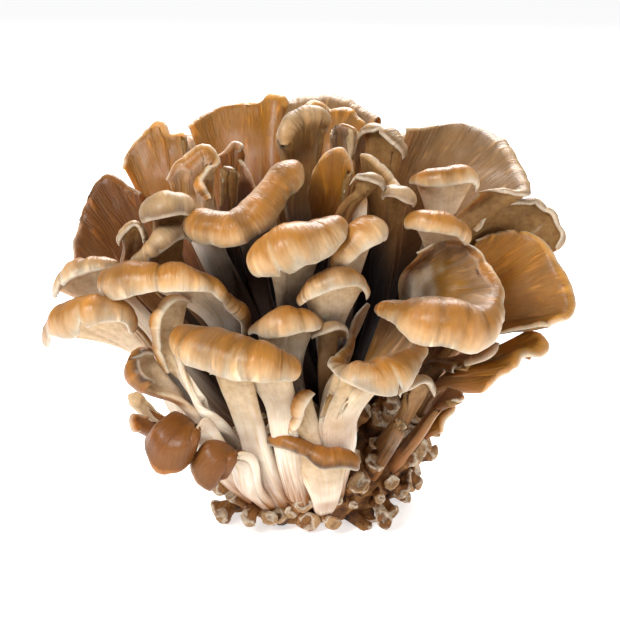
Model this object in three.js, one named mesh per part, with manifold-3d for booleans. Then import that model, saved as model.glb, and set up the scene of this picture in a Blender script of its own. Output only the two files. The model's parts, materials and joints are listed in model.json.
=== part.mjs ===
// Maitake (hen of the woods): a rosette of fronds that branch from one cut base.
// Millimetres. X runs along the row of widest caps, Y away from the open side, Z up.
// The cut face is at Z = 0.
import * as THREE from "three";
import Module from "manifold-3d";

// Driving dimensions.
const GAP = 0.35; // clear space kept between neighbouring fronds
const BURY = 3; // depth to which a stem's root reaches into the base before it is trimmed
const SHEET = 1.3; // half thickness of a frond's blade
const MARGIN = 0.9; // half thickness of a frond at its rolled edge
const FEWEST_RIBS = 4; // strips across a frond: as many as its rim has points, within these limits
const MOST_RIBS = 7;
const RINGS = 4; // strips from the foot to the rim
const TURNS = 3; // strips around the rolled edge
const LEAF_ROLL = 100; // fronds that roll no further than this many degrees are open leaves
const SMOOTHING = 0.06; // detail smaller than this is dropped from a trimmed frond
const BASE_SIDES = 26;
const LUMP = 0.07; // height of the base's lumps, as a share of its radius
const LUMPS = 7; // lumps around the base
const DRIFT = 4; // how far the lumps wander from one level of the base to the next

// The growth rule.
const STEM_END = 0.7; // share of the way to the rim at which a stem has become a blade
const ROUND = 2; // cross-section of a stem, as the power of its oval
const SLAB = 7; // cross-section of a blade: a flat slab with rounded sides
const LEAST_ROLL = 0.6; // tightest radius of a rolled edge
const TIGHTENING = 0.12; // share of its radius that a roll loses by its end
const EVEN_SHARE = 0.55; // how evenly the ribs stand along the rim; the rest bunches them at its ends
const AIM_STEP = 0.03; // share of the spine over which its last direction is taken
const SPEED_STEP = 0.02; // share of the spine over which its last speed is taken
const TANGENT_STEP = 1e-3; // share of the rim over which its direction is taken
const SETTLE_STEPS = 4; // rounds in which a rib's end and its direction settle on each other

// The base and its branching core, from the cut face up: height, centre x, centre y, radius x, radius y.
const BASE_LEVELS = [
  [0, -1, -3, 17, 16.5], [1.5, 0, -2, 20.5, 20], [5, 3, -1, 24.5, 22],
  [11, 5, 0, 28, 25], [19, 6, 1, 28, 26],
  [28, 5, 2, 23, 22], [42, 4, 3, 13, 12], [58, 2, 6, 12, 12], [70, 2, 8, 8, 8], [76, 2, 8, 3, 3],
];
const LUMPY_FROM = 3;
const LUMPY_TO = 34;

// Each frond grows from a foot on the base (degrees around it, height) through the points of `via`
// to `top`, the middle of its blade, and ends in a rim. A rim point holds x, y, z, the radius of the
// rolled edge and how far the edge rolls, in degrees. `stem` is the stem's radius, and `flare` is
// how late the stem spreads into the blade.
const FRONDS = [
  { name: "front_left_cap", foot: [-98, 5], stem: 4, flare: 7,
    via: [[-3, -36, 24.5], [-5, -40, 37.5], [-7, -40, 49]], top: [-14, -42, 61],
    rim: [[-35, -36, 64.5, 3.9, 180], [-27.5, -44, 63, 5.9, 180], [-19, -49, 62, 6.3, 180],
           [-11.5, -52, 61.5, 5.5, 180], [-5, -52, 60.5, 3.9, 180], [-1.5, -50, 59.5, 1.7, 180]] },
  { name: "front_left_under", foot: [-112, 6], stem: 4.6, flare: 4,
    via: [[-11.5, -32, 24.5], [-15.5, -36, 38]], top: [-20, -40, 52],
    rim: [[-25.5, -40, 54.5, 1.6, 130], [-19.5, -44, 56.5, 1.7, 130], [-14, -44, 56, 1.6, 130]] },
  { name: "left_ear", foot: [-128, 7], stem: 5.6, flare: 4.5,
    via: [[-22.5, -30, 31.5], [-28.5, -35, 43], [-33.5, -34, 53]], top: [-36, -32, 63],
    rim: [[-37.5, -38, 55, 1.6, 150], [-39.5, -38, 62, 1.6, 150], [-39.5, -36, 68.5, 2.1, 150],
           [-36.5, -33, 72.5, 1.7, 150], [-32, -29, 71.5, 1.6, 150]] },
  { name: "middle_low_roll", foot: [-75, 30], stem: 3.2, flare: 3.2,
    via: [[7.5, -28, 59]], top: [8.5, -35, 73],
    rim: [[-0.5, -38, 75.5, 2.1, 178], [4, -42, 79, 3.5, 178], [9, -43, 81.5, 4.1, 178],
           [13, -42, 82, 3.9, 178], [15.5, -39, 79.5, 2.9, 178], [17, -36, 76.5, 1.9, 178]] },
  { name: "middle_right_roll", foot: [-70, 34], stem: 2.6, flare: 3.6,
    via: [[12, -20, 64.5]], top: [15.5, -28, 84.5],
    rim: [[9, -36, 85, 2.1, 180], [12.5, -37, 89, 3.3, 180], [16, -36, 92.5, 3.9, 180],
           [19, -33, 94, 3.5, 180], [21, -30, 91.5, 1.9, 180]] },
  { name: "small_grey_cap", foot: [-82, 28], stem: 2.6, flare: 1.8,
    via: [[7, -30, 46.5]], top: [7, -34, 60],
    rim: [[3.5, -36, 64, 1.6, 150], [6, -38, 66, 2.1, 150], [9.5, -37, 66, 1.7, 150],
           [11, -34, 62.5, 1.6, 150]] },
  { name: "front_right_funnel", foot: [-78, 6], stem: 4, flare: 2.6,
    via: [[9.5, -36, 30.5], [10, -40, 43]], top: [18.5, -34, 57],
    rim: [[18.5, -13.5, 67, 1.6, 50], [13.5, -21.5, 63, 1.6, 60], [11, -31, 58.5, 1.6, 90],
           [7.5, -39, 55.5, 3.5, 140], [12, -46, 54, 5.3, 165], [18, -48, 54, 5.7, 165],
           [24, -46, 55, 5.3, 165], [29.5, -40, 57, 4.1, 150], [33, -32, 59, 2.6, 120],
           [31, -23.5, 61, 1.6, 80], [27.5, -15.5, 63, 1.6, 60], [23.5, -13, 65.5, 1.6, 60]] },
  { name: "front_small_curl", foot: [-84, 8], stem: 2.4, flare: 2,
    via: [[5.5, -38, 26.5], [4.5, -41, 35.5]], top: [1.5, -42, 44.5],
    rim: [[-3, -42, 38, 1.6, 170], [-0.5, -44, 41.5, 1.6, 170], [0, -44, 46.5, 1.6, 170],
           [3, -42, 50, 1.6, 170]] },
  { name: "front_low_cap", foot: [-76, 2.5], stem: 3.4, flare: 2.5,
    via: [[7, -34, 15]], top: [6.5, -38, 26],
    rim: [[-9.5, -38, 34, 1.6, 175], [-4, -42, 35, 1.6, 175], [1, -44, 33, 2.1, 175],
           [6, -45, 30, 3.1, 175], [12, -44, 29, 3.3, 175], [14, -42, 28, 2.1, 175]] },
  { name: "centre_button", foot: [-95, 25], stem: 3.6, flare: 2.5,
    via: [[-4.5, -30, 49.5]], top: [-5, -34, 61.5],
    rim: [[-14.5, -32, 64.5, 1.6, 170], [-10, -38, 67, 3.4, 170], [-5, -41, 68.5, 4.1, 170],
           [0, -40, 69, 3.4, 170], [5, -36, 68.5, 1.6, 170]] },
  { name: "upper_long_roll", foot: [-110, 34], stem: 3.5, flare: 4,
    via: [[-12.5, 0, 65], [-14.5, 0, 83.5]], top: [-17.5, -14, 95],
    rim: [[-31, -26, 95.5, 4.3, 200], [-25.5, -32, 95, 5.9, 200], [-19, -34, 95, 5.5, 200],
           [-13, -32, 98, 5.1, 200], [-8.5, -28, 102.5, 5.1, 200], [-4.5, -24, 107, 4.7, 200],
           [-1.5, -20, 110.5, 2.3, 200]] },
  { name: "middle_roll", foot: [-85, 34], stem: 3.2, flare: 4,
    via: [[-3, -18, 59.5]], top: [-1.5, -28, 79.5],
    rim: [[-12.5, -38, 87, 4.3, 195], [-7.5, -43, 89, 6.1, 195], [-2, -44, 91.5, 6.1, 195],
           [3.5, -42, 93.5, 5.5, 195], [8, -38, 96, 4.3, 195], [10.5, -34, 97, 2.5, 195]] },
  { name: "right_round_cap", foot: [-25, 30], stem: 3.6, flare: 1.6,
    via: [[30, 0, 52], [32, -8, 67]], top: [40.5, -24, 75],
    rim: [[21, -36, 73, 1.7, 160], [25.5, -42, 73.5, 3.7, 160], [32, -47, 72.5, 5.4, 160],
           [40.5, -48, 71, 5.7, 160], [47, -46, 69.5, 5.3, 160], [52.5, -40, 72, 4.1, 150],
           [55, -32, 76, 2.6, 120], [52.5, -24, 80.5, 1.7, 90], [50, -19, 84, 1.6, 70],
           [45.5, -13.5, 86, 1.6, 60], [39, -9.5, 85.5, 1.6, 50], [33, -9.5, 82.5, 1.6, 50]] },
  { name: "right_top_cap", foot: [-30, 36], stem: 2.6, flare: 2.2,
    via: [[38.5, 4, 71.5]], top: [38.5, -12, 88],
    rim: [[30, -22, 94, 1.9, 175], [33.5, -26, 95, 2.9, 175], [38.5, -27, 94, 3.4, 175],
           [43, -25, 92, 2.9, 175], [46.5, -21, 89, 1.6, 175]] },
  { name: "right_brown_band", foot: [-20, 36], stem: 2.6, flare: 3,
    via: [[38.5, 8, 78]], top: [42.5, 0, 97],
    rim: [[31.5, -8, 103, 1.6, 165], [36.5, -12, 104, 1.9, 165], [41.5, -13, 104.5, 2.3, 165],
           [46.5, -11, 104, 2.3, 165], [49.5, -8, 101, 1.6, 165]] },
  { name: "upper_right_fan", foot: [20, 36], stem: 4, flare: 1.4,
    via: [[31.5, 18, 72.5], [34, 16, 87]], top: [46.5, 22, 103],
    rim: [[51.5, -2, 97, 1.6, 80], [58.5, -3.5, 97.5, 2.1, 100], [65.5, 0, 96.5, 2.5, 110],
           [64.5, 13.5, 100, 2.7, 100], [61.5, 25.5, 104.5, 2.5, 80], [55.5, 36, 108, 2.1, 60],
           [48.5, 40, 109.5, 2.1, 50], [39.5, 38.5, 109, 2.1, 40], [30.5, 31, 110, 2.1, 40]] },
  { name: "right_arched_fan", foot: [5, 30], stem: 3, flare: 1.2,
    via: [[42, 14, 64]], top: [60, 12, 82],
    rim: [[51.5, 1.5, 85.5, 1.6, 100], [55.5, 2, 90, 1.6, 120], [64, 4, 92.5, 1.6, 120],
           [72, 4, 90, 1.6, 120], [75.5, 0, 85.5, 1.6, 110], [73.5, -4.5, 82, 1.6, 90]] },
  { name: "right_great_fan", foot: [0, 24], stem: 3.6, flare: 1.5,
    via: [[45, 4, 54]], top: [67.5, -6, 69.5],
    rim: [[57, -13.5, 57, 1.6, 30], [64, -15, 59, 1.6, 40], [71.5, -15, 60.5, 1.6, 50],
           [76.5, -12.5, 62, 2.1, 80], [79, -11, 65.5, 2.1, 80], [78, -7.5, 71.5, 2.1, 70],
           [75, -4.5, 76.5, 2.1, 60], [71.5, 1, 82, 1.6, 50], [65, 5, 84.5, 1.6, 40],
           [57, 7, 83.5, 1.6, 30], [52, 7, 81.5, 1.6, 30]] },
  { name: "right_shadow_leaf", foot: [-20, 20], stem: 2.4, flare: 1.5,
    via: [[37.5, -6, 44]], top: [48.5, -12, 50.5],
    rim: [[44.5, -15, 48, 1.6, 50], [49, -19, 50, 1.6, 60], [54.5, -20.5, 53, 1.6, 60],
           [57.5, -16.5, 55.5, 1.6, 50]] },
  { name: "right_twisted_leaf", foot: [-10, 20], stem: 2.4, flare: 1.2,
    via: [[41, -10, 41]], top: [60, -14, 48],
    rim: [[48.5, -14, 41.5, 1.6, 30], [54.5, -17.5, 44, 1.6, 40], [59.5, -18, 48, 1.6, 50],
           [63.5, -18.5, 51.5, 1.6, 90], [68, -17.5, 52.5, 1.6, 100], [70, -14, 54.5, 1.6, 90],
           [68, -10.5, 56, 1.6, 60], [63, -9, 53, 1.6, 40]] },
  { name: "right_dark_hood", foot: [-35, 14], stem: 2.4, flare: 2.2,
    via: [[32, -26, 29.5], [38, -30, 40]], top: [44, -30, 43.5],
    rim: [[42.5, -32.5, 43, 1.6, 60], [44.5, -32, 43, 1.6, 80], [46, -30, 43, 1.6, 80],
           [45, -27.5, 44, 1.6, 60], [42, -25.5, 45, 1.6, 50]] },
  { name: "right_amber_leaf", foot: [-20, 12], stem: 2.2, flare: 1.6,
    via: [[37, -12, 27]], top: [42.5, -13, 32],
    rim: [[40.5, -13, 28, 1.6, 30], [43.5, -15, 31, 1.6, 40], [46, -14.5, 34, 1.6, 40],
           [44.5, -10, 35, 1.6, 40]] },
  { name: "right_grey_curl", foot: [-50, 22], stem: 2.6, flare: 1.6,
    via: [[29.5, -30, 37.5]], top: [32, -34, 45.5],
    rim: [[28.5, -38, 48, 1.6, 155], [30.5, -40, 51, 1.7, 155], [34, -38, 51.5, 1.7, 155],
           [36.5, -34, 46.5, 1.6, 155]] },
  { name: "right_sprout", foot: [-52, 14], stem: 2, flare: 1.3,
    via: [[27, -34, 33]], top: [28.5, -36, 38],
    rim: [[29, -35.5, 37.5, 1.6, 70], [28.5, -36, 38.5, 1.6, 70], [28, -36.5, 39.5, 1.6, 70],
           [28, -36, 38.5, 1.6, 70]] },
  { name: "left_drooping_cap", foot: [-150, 12], stem: 3.6, flare: 7,
    via: [[-32, -16, 28.5], [-40, -18, 42], [-45.5, -22, 55.5]], top: [-57, -26, 69],
    rim: [[-73.5, -24, 59, 2.1, 175], [-69, -30, 65, 4.5, 175], [-63, -35, 69, 5.9, 175],
           [-57, -37, 71, 5.5, 175], [-52, -36, 70.5, 4.3, 175], [-48.5, -32, 66, 2.3, 175]] },
  { name: "left_thumb", foot: [-140, 8], stem: 5.2, flare: 3,
    via: [[-27, -29, 27], [-32, -35, 45]], top: [-39.5, -38, 54.5],
    rim: [[-42, -42, 52, 2.7, 170], [-44.5, -40, 54.5, 4.1, 170], [-44.5, -36, 57, 3.5, 170],
           [-41.5, -34, 58, 1.9, 170]] },
  { name: "left_dark_spur_a", foot: [-165, 14], stem: 2, flare: 1.2,
    via: [[-41.5, -14, 30]], top: [-49, -18, 38],
    rim: [[-48, -17, 38, 1.6, 45], [-50, -18.5, 40, 1.6, 45], [-51, -19, 39, 1.6, 45],
           [-49, -18, 38, 1.6, 45]] },
  { name: "left_dark_spur_b", foot: [-160, 9], stem: 2.2, flare: 1.2,
    via: [[-39.5, -16, 26]], top: [-48, -22, 33],
    rim: [[-46.5, -19.5, 34.5, 1.6, 50], [-50.5, -22, 35.5, 1.6, 50], [-51, -23.5, 33.5, 1.6, 50],
           [-49.5, -23, 31.5, 1.6, 50], [-47, -22, 31.5, 1.6, 50]] },
  { name: "left_low_helmet", foot: [-135, 6], stem: 3.4, flare: 1.2,
    via: [[-22.5, -32, 25], [-30.5, -40, 40], [-35, -47, 39]], top: [-37.5, -47, 33.5],
    rim: [[-43, -38, 35.5, 1.6, 95], [-42.5, -41.5, 32, 1.7, 95], [-40, -43.5, 29, 1.7, 95],
           [-37, -45, 29, 1.7, 95], [-35, -44, 29.5, 1.7, 95], [-33.5, -42, 32, 1.7, 95],
           [-33, -38, 36, 1.6, 95]] },
  { name: "left_low_helmet_b", foot: [-118, 3], stem: 3.2, flare: 1.2,
    via: [[-15, -34, 19], [-17, -40, 30.5], [-22, -45, 33.5]], top: [-25.5, -45, 28.5],
    rim: [[-29.5, -39, 30.5, 1.6, 90], [-29.5, -41.5, 27, 1.6, 90], [-28, -43, 24.5, 1.6, 90],
           [-25.5, -43.5, 23, 1.6, 90], [-24, -44, 26.5, 1.6, 90], [-22.5, -42.5, 29, 1.6, 90]] },
  { name: "left_long_roll", foot: [-125, 30], stem: 4, flare: 3.2,
    via: [[-20, -16, 55.5], [-23.5, -22, 67.5]], top: [-32, -28, 76],
    rim: [[-55.5, -32, 79.5, 3.6, 170], [-49.5, -36, 80, 5.3, 170], [-42.5, -38, 80.5, 5.4, 170],
           [-34.5, -39, 81, 5.4, 170], [-27.5, -38, 80, 3.6, 170], [-21.5, -34, 75.5, 1.6, 170],
           [-18, -30, 69, 1.6, 170], [-17, -26, 63, 1.6, 170]] },
  { name: "left_wing", foot: [-150, 24], stem: 3, flare: 3,
    via: [[-45, -14, 59.5]], top: [-60.5, -24, 75],
    rim: [[-71.5, -18, 71.5, 1.6, 170], [-67, -23, 76, 3.3, 170], [-61.5, -26, 79.5, 4.1, 170],
           [-56.5, -27, 81.5, 3.5, 170], [-52, -25, 81.5, 1.7, 170]] },
  { name: "left_little_hood", foot: [-150, 34], stem: 2.4, flare: 2,
    via: [[-48, -10, 71]], top: [-49.5, -20, 87],
    rim: [[-51.5, -24, 88.5, 1.6, 150], [-49.5, -27, 93, 2.1, 150], [-47, -27, 94.5, 2.3, 150],
           [-45.5, -24, 89, 1.7, 150]] },
  { name: "left_small_cap", foot: [-135, 36], stem: 3, flare: 2.4,
    via: [[-38, -8, 76.5]], top: [-38.5, -20, 93],
    rim: [[-44, -24, 96, 2.3, 170], [-41, -28, 98.5, 3.5, 170], [-37.5, -29, 99.5, 3.9, 170],
           [-34, -27, 99, 3.3, 170], [-32.5, -24, 96.5, 1.9, 170]] },
  { name: "left_wrinkled", foot: [-128, 34], stem: 3, flare: 2.4,
    via: [[-34.5, -14, 73.5]], top: [-39.5, -22, 87],
    rim: [[-48, -26, 84, 1.7, 165], [-43, -29, 86.5, 2.5, 165], [-39, -29, 90, 3.3, 165],
           [-35.5, -26, 91, 3.1, 165], [-33, -22, 88.5, 1.9, 165]] },
  { name: "left_bright_cap", foot: [-150, 37], stem: 5, flare: 1.3,
    via: [[-29, -2, 82.5]], top: [-33, -8, 102.5],
    rim: [[-26.5, -13, 98.5, 1.6, 90], [-28, -10.5, 102.5, 2.1, 100], [-24.5, -9, 107.5, 2.7, 110],
           [-28, -7, 111, 3.1, 110], [-33, -7, 108, 3.1, 100], [-36.5, -7.5, 107, 2.1, 80],
           [-39.5, -8, 103.5, 1.6, 50]] },
  { name: "left_back_fan", foot: [170, 28], stem: 4, flare: 1.4,
    via: [[-42.5, 10, 62]], top: [-57.5, 14, 84.5],
    rim: [[-49.5, 21, 92, 1.6, 60], [-54.5, 24.5, 93, 1.6, 80], [-59.5, 26, 95, 2.1, 80],
           [-63.5, 24.5, 94.5, 1.6, 60], [-65.5, 21, 89.5, 1.6, 50], [-67.5, 17.5, 85, 1.6, 50],
           [-68, 15.5, 82, 1.6, 50], [-70, 12, 78.5, 1.6, 50], [-69.5, 6.5, 74, 1.6, 40]] },
  { name: "left_amber_fan", foot: [150, 36], stem: 3.6, flare: 1.5,
    via: [[-35.5, 20, 75]], top: [-45, 30, 101.5],
    rim: [[-35.5, 30, 104, 1.6, 40], [-36.5, 32.5, 108.5, 1.6, 50], [-41.5, 35, 107.5, 1.6, 50],
           [-44.5, 37, 110, 1.6, 50], [-48.5, 37, 108, 1.6, 50], [-52, 35, 104.5, 1.6, 50],
           [-55, 32.5, 101, 1.6, 50], [-56.5, 28, 98, 1.6, 40]] },
  { name: "top_tall_fan", foot: [120, 37], stem: 4.5, flare: 1.4,
    via: [[-17, 22, 71], [-17, 30, 88.5]], top: [-20, 38, 106],
    rim: [[-6, 43, 113, 2.1, 60], [-9, 44.5, 116, 2.6, 80], [-13.5, 47, 115, 1.6, 60],
           [-20.5, 48.5, 114.5, 1.6, 50], [-27.5, 48.5, 113, 1.6, 50], [-33, 45, 110.5, 1.6, 50],
           [-37, 40, 108.5, 1.6, 40]] },
  { name: "top_back_fan", foot: [90, 37], stem: 4, flare: 1.4,
    via: [[2, 30, 79]], top: [5, 44, 105],
    rim: [[19.5, 49, 107.5, 2.1, 70], [14.5, 52.5, 110.5, 2.1, 80], [9, 54, 110, 2.1, 70],
           [4, 54, 112, 2.1, 80], [-0.5, 50.5, 112.5, 2.1, 80]] },
  { name: "top_dark_fan", foot: [130, 37], stem: 3, flare: 1.2,
    via: [[-19.5, 10, 81]], top: [-21, 16, 101],
    rim: [[-14.5, 12.5, 95.5, 1.6, 40], [-17.5, 16, 102.5, 1.6, 50], [-18, 19, 106.5, 1.6, 60],
           [-21, 21, 107.5, 1.6, 60], [-24, 19, 106, 1.6, 50], [-26.5, 16, 105, 1.6, 40]] },
  { name: "top_amber_tongue", foot: [-170, 37], stem: 3.8, flare: 1.5,
    via: [[-21.5, 2, 77.5]], top: [-22, 6, 100.5],
    rim: [[-19.5, 4.5, 100, 1.6, 40], [-19.5, 6.5, 102.5, 1.6, 50], [-22, 7.5, 103.5, 1.6, 50],
           [-24.5, 7.5, 102.5, 1.6, 50], [-25, 4.5, 99.5, 1.6, 40]] },
  { name: "top_folded_cap", foot: [60, 37], stem: 3.2, flare: 1.3,
    via: [[0.5, 14, 83], [0, 10, 101]], top: [0.5, 8, 112],
    rim: [[6, 5, 115, 1.6, 100], [5.5, 4, 119, 2.3, 110], [1.5, 2, 120.5, 2.7, 120],
           [-2.5, 0, 119.5, 2.7, 120], [-5.5, -2, 116, 2.1, 110], [-5, 0, 111.5, 1.6, 90]] },
  { name: "top_brown_tongue", foot: [50, 37], stem: 3, flare: 1.3,
    via: [[11, 8, 84.5]], top: [11.5, 10, 110],
    rim: [[15, 10, 109.5, 1.6, 40], [16, 11.5, 113.5, 1.6, 60], [12, 13, 115, 1.6, 80],
           [9.5, 13, 114, 1.6, 70], [8, 11.5, 111.5, 1.6, 40]] },
  { name: "top_grey_roll", foot: [35, 37], stem: 3, flare: 1.6,
    via: [[21.5, 8, 83]], top: [21.5, 8, 104.5],
    rim: [[17.5, 8, 112, 1.6, 160], [20, 6, 114.5, 2.6, 160], [24, 4, 114, 3.6, 160],
           [27, 2, 111, 3.6, 160], [29, 2, 107.5, 2.1, 160]] },
  { name: "top_upright_tongue", foot: [-100, 37], stem: 3.2, flare: 1.3,
    via: [[6.5, -8, 76.5]], top: [8.5, -8, 100.5],
    rim: [[13, -13, 100.5, 1.6, 40], [14, -12, 107, 1.6, 50], [11, -11.5, 112.5, 1.6, 60],
           [7, -11.5, 111.5, 1.6, 50], [4, -9.5, 103.5, 1.6, 40], [3, -8, 96.5, 1.6, 40]] },
  { name: "top_saddle", foot: [-20, 37], stem: 2.8, flare: 1.3,
    via: [[24.5, -4, 78.5]], top: [25.5, -8, 100.5],
    rim: [[30, -14.5, 98.5, 1.6, 100], [28, -10.5, 101.5, 1.6, 100], [26, -6.5, 104.5, 1.6, 80],
           [22, -3, 108, 1.6, 60], [17.5, 1, 109, 1.6, 50]] },
  { name: "top_saddle_lobe", foot: [-50, 37], stem: 2.2, flare: 3,
    via: [[25.5, -2, 74.5], [26.5, -6, 86.5]], top: [26, -14, 96.5],
    rim: [[23, -22, 101.5, 1.6, 165], [25.5, -25, 103.5, 2.7, 165], [28.5, -24, 102, 2.5, 165],
           [30.5, -20, 99, 1.6, 165]] },
  { name: "top_arched_cap", foot: [-85, 37], stem: 2.4, flare: 2.5,
    via: [[10, -16, 86], [11.5, -20, 97.5]], top: [15.5, -22, 103],
    rim: [[14, -22, 104, 1.6, 160], [16.5, -25, 106, 2.1, 160], [19.5, -26, 106.5, 2.1, 160],
           [22, -23, 104, 1.6, 160]] },
  { name: "rear_middle_cap", foot: [90, 20], stem: 4.5, flare: 2.4,
    via: [[5, 40, 45]], top: [4, 50, 68],
    rim: [[32, 50, 76, 4, 165], [18, 59, 82, 5.2, 165], [0, 63, 83, 5.5, 165], [-18, 59, 80, 5.2, 165],
           [-31, 51, 73, 4, 165]] },
  { name: "rear_upper_left_cap", foot: [110, 34], stem: 4, flare: 2,
    via: [[-16, 32, 66]], top: [-26, 42, 88],
    rim: [
      [-6, 57, 95, 3.5, 155], [-22, 60, 99, 4.6, 155], [-38, 55, 98, 4.6, 155],
      [-50, 44, 92, 3.5, 155],
    ] },
  { name: "rear_upper_right_cap", foot: [70, 34], stem: 4, flare: 2,
    via: [[20, 34, 66]], top: [32, 44, 88],
    rim: [[56, 38, 90, 3.5, 150], [46, 52, 97, 4.8, 150], [30, 59, 99, 4.8, 150], [13, 60, 96, 3.5, 150]] },
  { name: "rear_left_cap", foot: [140, 20], stem: 4.2, flare: 2.2,
    via: [[-28, 28, 44]], top: [-44, 36, 62],
    rim: [[-30, 55, 70, 3.5, 160], [-44, 54, 76, 5, 160], [-56, 44, 76, 5, 160], [-62, 30, 71, 3.5, 160]] },
  { name: "rear_right_cap", foot: [40, 20], stem: 4.2, flare: 2.2,
    via: [[36, 28, 42]], top: [52, 32, 58],
    rim: [[75, 16, 62, 3.5, 165], [71, 32, 69, 5, 165], [61, 45, 72, 5.4, 165], [46, 53, 71, 5, 165],
           [34, 56, 66, 3.5, 165]] },
  { name: "rear_low_middle_cap", foot: [95, 10], stem: 3.6, flare: 2.4,
    via: [[2, 38, 20]], top: [0, 46, 40],
    rim: [[22, 46, 46, 3, 170], [9, 55, 52, 4.4, 170], [-6, 57, 52, 4.4, 170], [-20, 50, 47, 3, 170]] },
  { name: "rear_low_left_cap", foot: [135, 8], stem: 3.6, flare: 2.4,
    via: [[-24, 26, 20]], top: [-33, 34, 36],
    rim: [[-22, 46, 43, 3, 165], [-33, 47, 48, 4.2, 165], [-43, 39, 48, 4.2, 165], [-46, 27, 44, 3, 165]] },
  { name: "rear_low_right_cap", foot: [50, 8], stem: 3.6, flare: 2.4,
    via: [[31, 27, 20]], top: [40, 34, 34],
    rim: [[55, 22, 38, 3, 165], [52, 36, 46, 4.2, 165], [41, 45, 48, 4.4, 165], [28, 47, 44, 3, 165]] },
  { name: "rear_top_cap", foot: [90, 40], stem: 4, flare: 1.8,
    via: [[2, 32, 80]], top: [2, 46, 102],
    rim: [[24, 57, 107, 3, 150], [10, 64, 110, 4, 150], [-7, 64, 110, 4, 150], [-22, 58, 106, 3, 150]] },
  { name: "left_side_cap", foot: [175, 12], stem: 5.5, flare: 2.2,
    via: [[-36, 2, 31]], top: [-47, 6, 48],
    rim: [
      [-43, 25, 55, 3.5, 160], [-55, 17, 60, 4.6, 160], [-60, 3, 60, 4.8, 160],
      [-54, -9, 56, 3.5, 160],
    ] },
];

const radians = THREE.MathUtils.degToRad;
const smooth = (x) => THREE.MathUtils.smoothstep(x, 0, 1);
const vector = (p) => new THREE.Vector3(p[0], p[1], p[2]);

// A uniform Catmull-Rom curve through rows of numbers, of which the first three may be a place.
function along(rows, t) {
  const last = rows.length - 1;
  const s = THREE.MathUtils.clamp(t, 0, 1) * last;
  const i = Math.min(Math.floor(s), last - 1);
  const f = s - i;
  return rows[0].map((_, c) => {
    const b = rows[i][c];
    const d = rows[i + 1][c];
    const a = i > 0 ? rows[i - 1][c] : 2 * b - d;
    const e = i + 2 <= last ? rows[i + 2][c] : 2 * d - b;
    const straight = 2 * b + (d - a) * f;
    const bend = (2 * a - 5 * b + 4 * d - e) * f * f;
    const twist = (3 * b - a - 3 * d + e) * f * f * f;
    return 0.5 * (straight + bend + twist);
  });
}

function levelAt(z) {
  const upper = BASE_LEVELS.findIndex((level) => level[0] >= z && level[0] > 0);
  const [a, b] = [BASE_LEVELS[upper - 1], BASE_LEVELS[upper]];
  const t = (z - a[0]) / (b[0] - a[0]);
  const level = a.map((value, i) => value + (b[i] - value) * t);
  return { level, slope: (b[3] - a[3]) / (b[0] - a[0]) };
}

// A point on the base's surface and the direction out of it.
function footAt([degrees, z]) {
  const { level, slope } = levelAt(z);
  const w = radians(degrees);
  const foot = new THREE.Vector3(level[1] + level[3] * Math.cos(w), level[2] + level[4] * Math.sin(w), z);
  return { foot, out: new THREE.Vector3(Math.cos(w), Math.sin(w), -slope).normalize() };
}

// The frond's middle surface: rows of points from one side of the rim to the other, with the
// thickness at each.
function blade(frond) {
  const { foot, out } = footAt(frond.foot);
  const ribs = THREE.MathUtils.clamp(frond.rim.length, FEWEST_RIBS, MOST_RIBS);
  const top = vector(frond.top);
  const root = foot.clone().addScaledVector(out, -BURY);
  const spine = [root.toArray(), ...frond.via, frond.top];
  const tip = vector(along(spine, 1));
  const endDirection = tip.clone().sub(vector(along(spine, 1 - AIM_STEP))).normalize();
  const speed = tip.distanceTo(vector(along(spine, 1 - SPEED_STEP))) / SPEED_STEP;
  const rimAt = (u) => {
    const byAngle = Math.asin(u) / Math.PI + 0.5;
    return EVEN_SHARE * byAngle + (1 - EVEN_SHARE) * (u / 2 + 0.5);
  };
  const tangentAt = (t) => {
    const ahead = vector(along(frond.rim, t + TANGENT_STEP));
    return ahead.sub(vector(along(frond.rim, t - TANGENT_STEP))).normalize();
  };
  const spread = tangentAt(rimAt(0));
  spread.addScaledVector(out, -spread.dot(out)).normalize();
  const rows = [];
  for (let i = 0; i <= ribs; i++) {
    const u = Math.sin(Math.PI * (i / ribs - 0.5));
    const rim = along(frond.rim, rimAt(u));
    const crest = vector(rim);
    const radius = Math.max(rim[3], LEAST_ROLL);
    const tangent = tangentAt(rimAt(u));
    const inner = crest.clone();
    const arrival = new THREE.Vector3();
    const under = new THREE.Vector3();
    for (let step = 0; step < SETTLE_STEPS; step++) {
      arrival.copy(endDirection).multiplyScalar(speed);
      arrival.addScaledVector(inner.clone().sub(top), frond.flare);
      under.crossVectors(tangent, arrival.normalize()).normalize();
      arrival.crossVectors(under, tangent).normalize();
      inner.copy(crest).addScaledVector(under, -radius);
    }
    const row = [];
    const thickness = (half, power) => {
      return half * Math.sqrt(Math.max(1 - Math.abs(u) ** power, 0));
    };
    for (let j = 0; j <= RINGS; j++) {
      const v = j / RINGS;
      const open = v ** frond.flare;
      const point = vector(along(spine, v)).addScaledVector(inner.clone().sub(top), open);
      point.addScaledVector(spread, (1 - open) * frond.stem * u);
      const opened = smooth(v / STEM_END);
      const half = frond.stem + (SHEET - frond.stem) * opened;
      row.push({ point, half: thickness(half, ROUND + (SLAB - ROUND) * opened) });
    }
    for (let j = 1; j <= TURNS; j++) {
      const turn = radians(rim[4]) * (j / TURNS);
      const bend = radius * (1 - TIGHTENING * (j / TURNS));
      const point = crest.clone().addScaledVector(under, -bend * Math.cos(turn));
      point.addScaledVector(arrival, bend * Math.sin(turn));
      const half = j === TURNS ? 0 : SHEET + (MARGIN - SHEET) * (j / TURNS);
      row.push({ point, half: thickness(half, SLAB) });
    }
    rows.push(row);
  }
  return rows;
}

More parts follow.
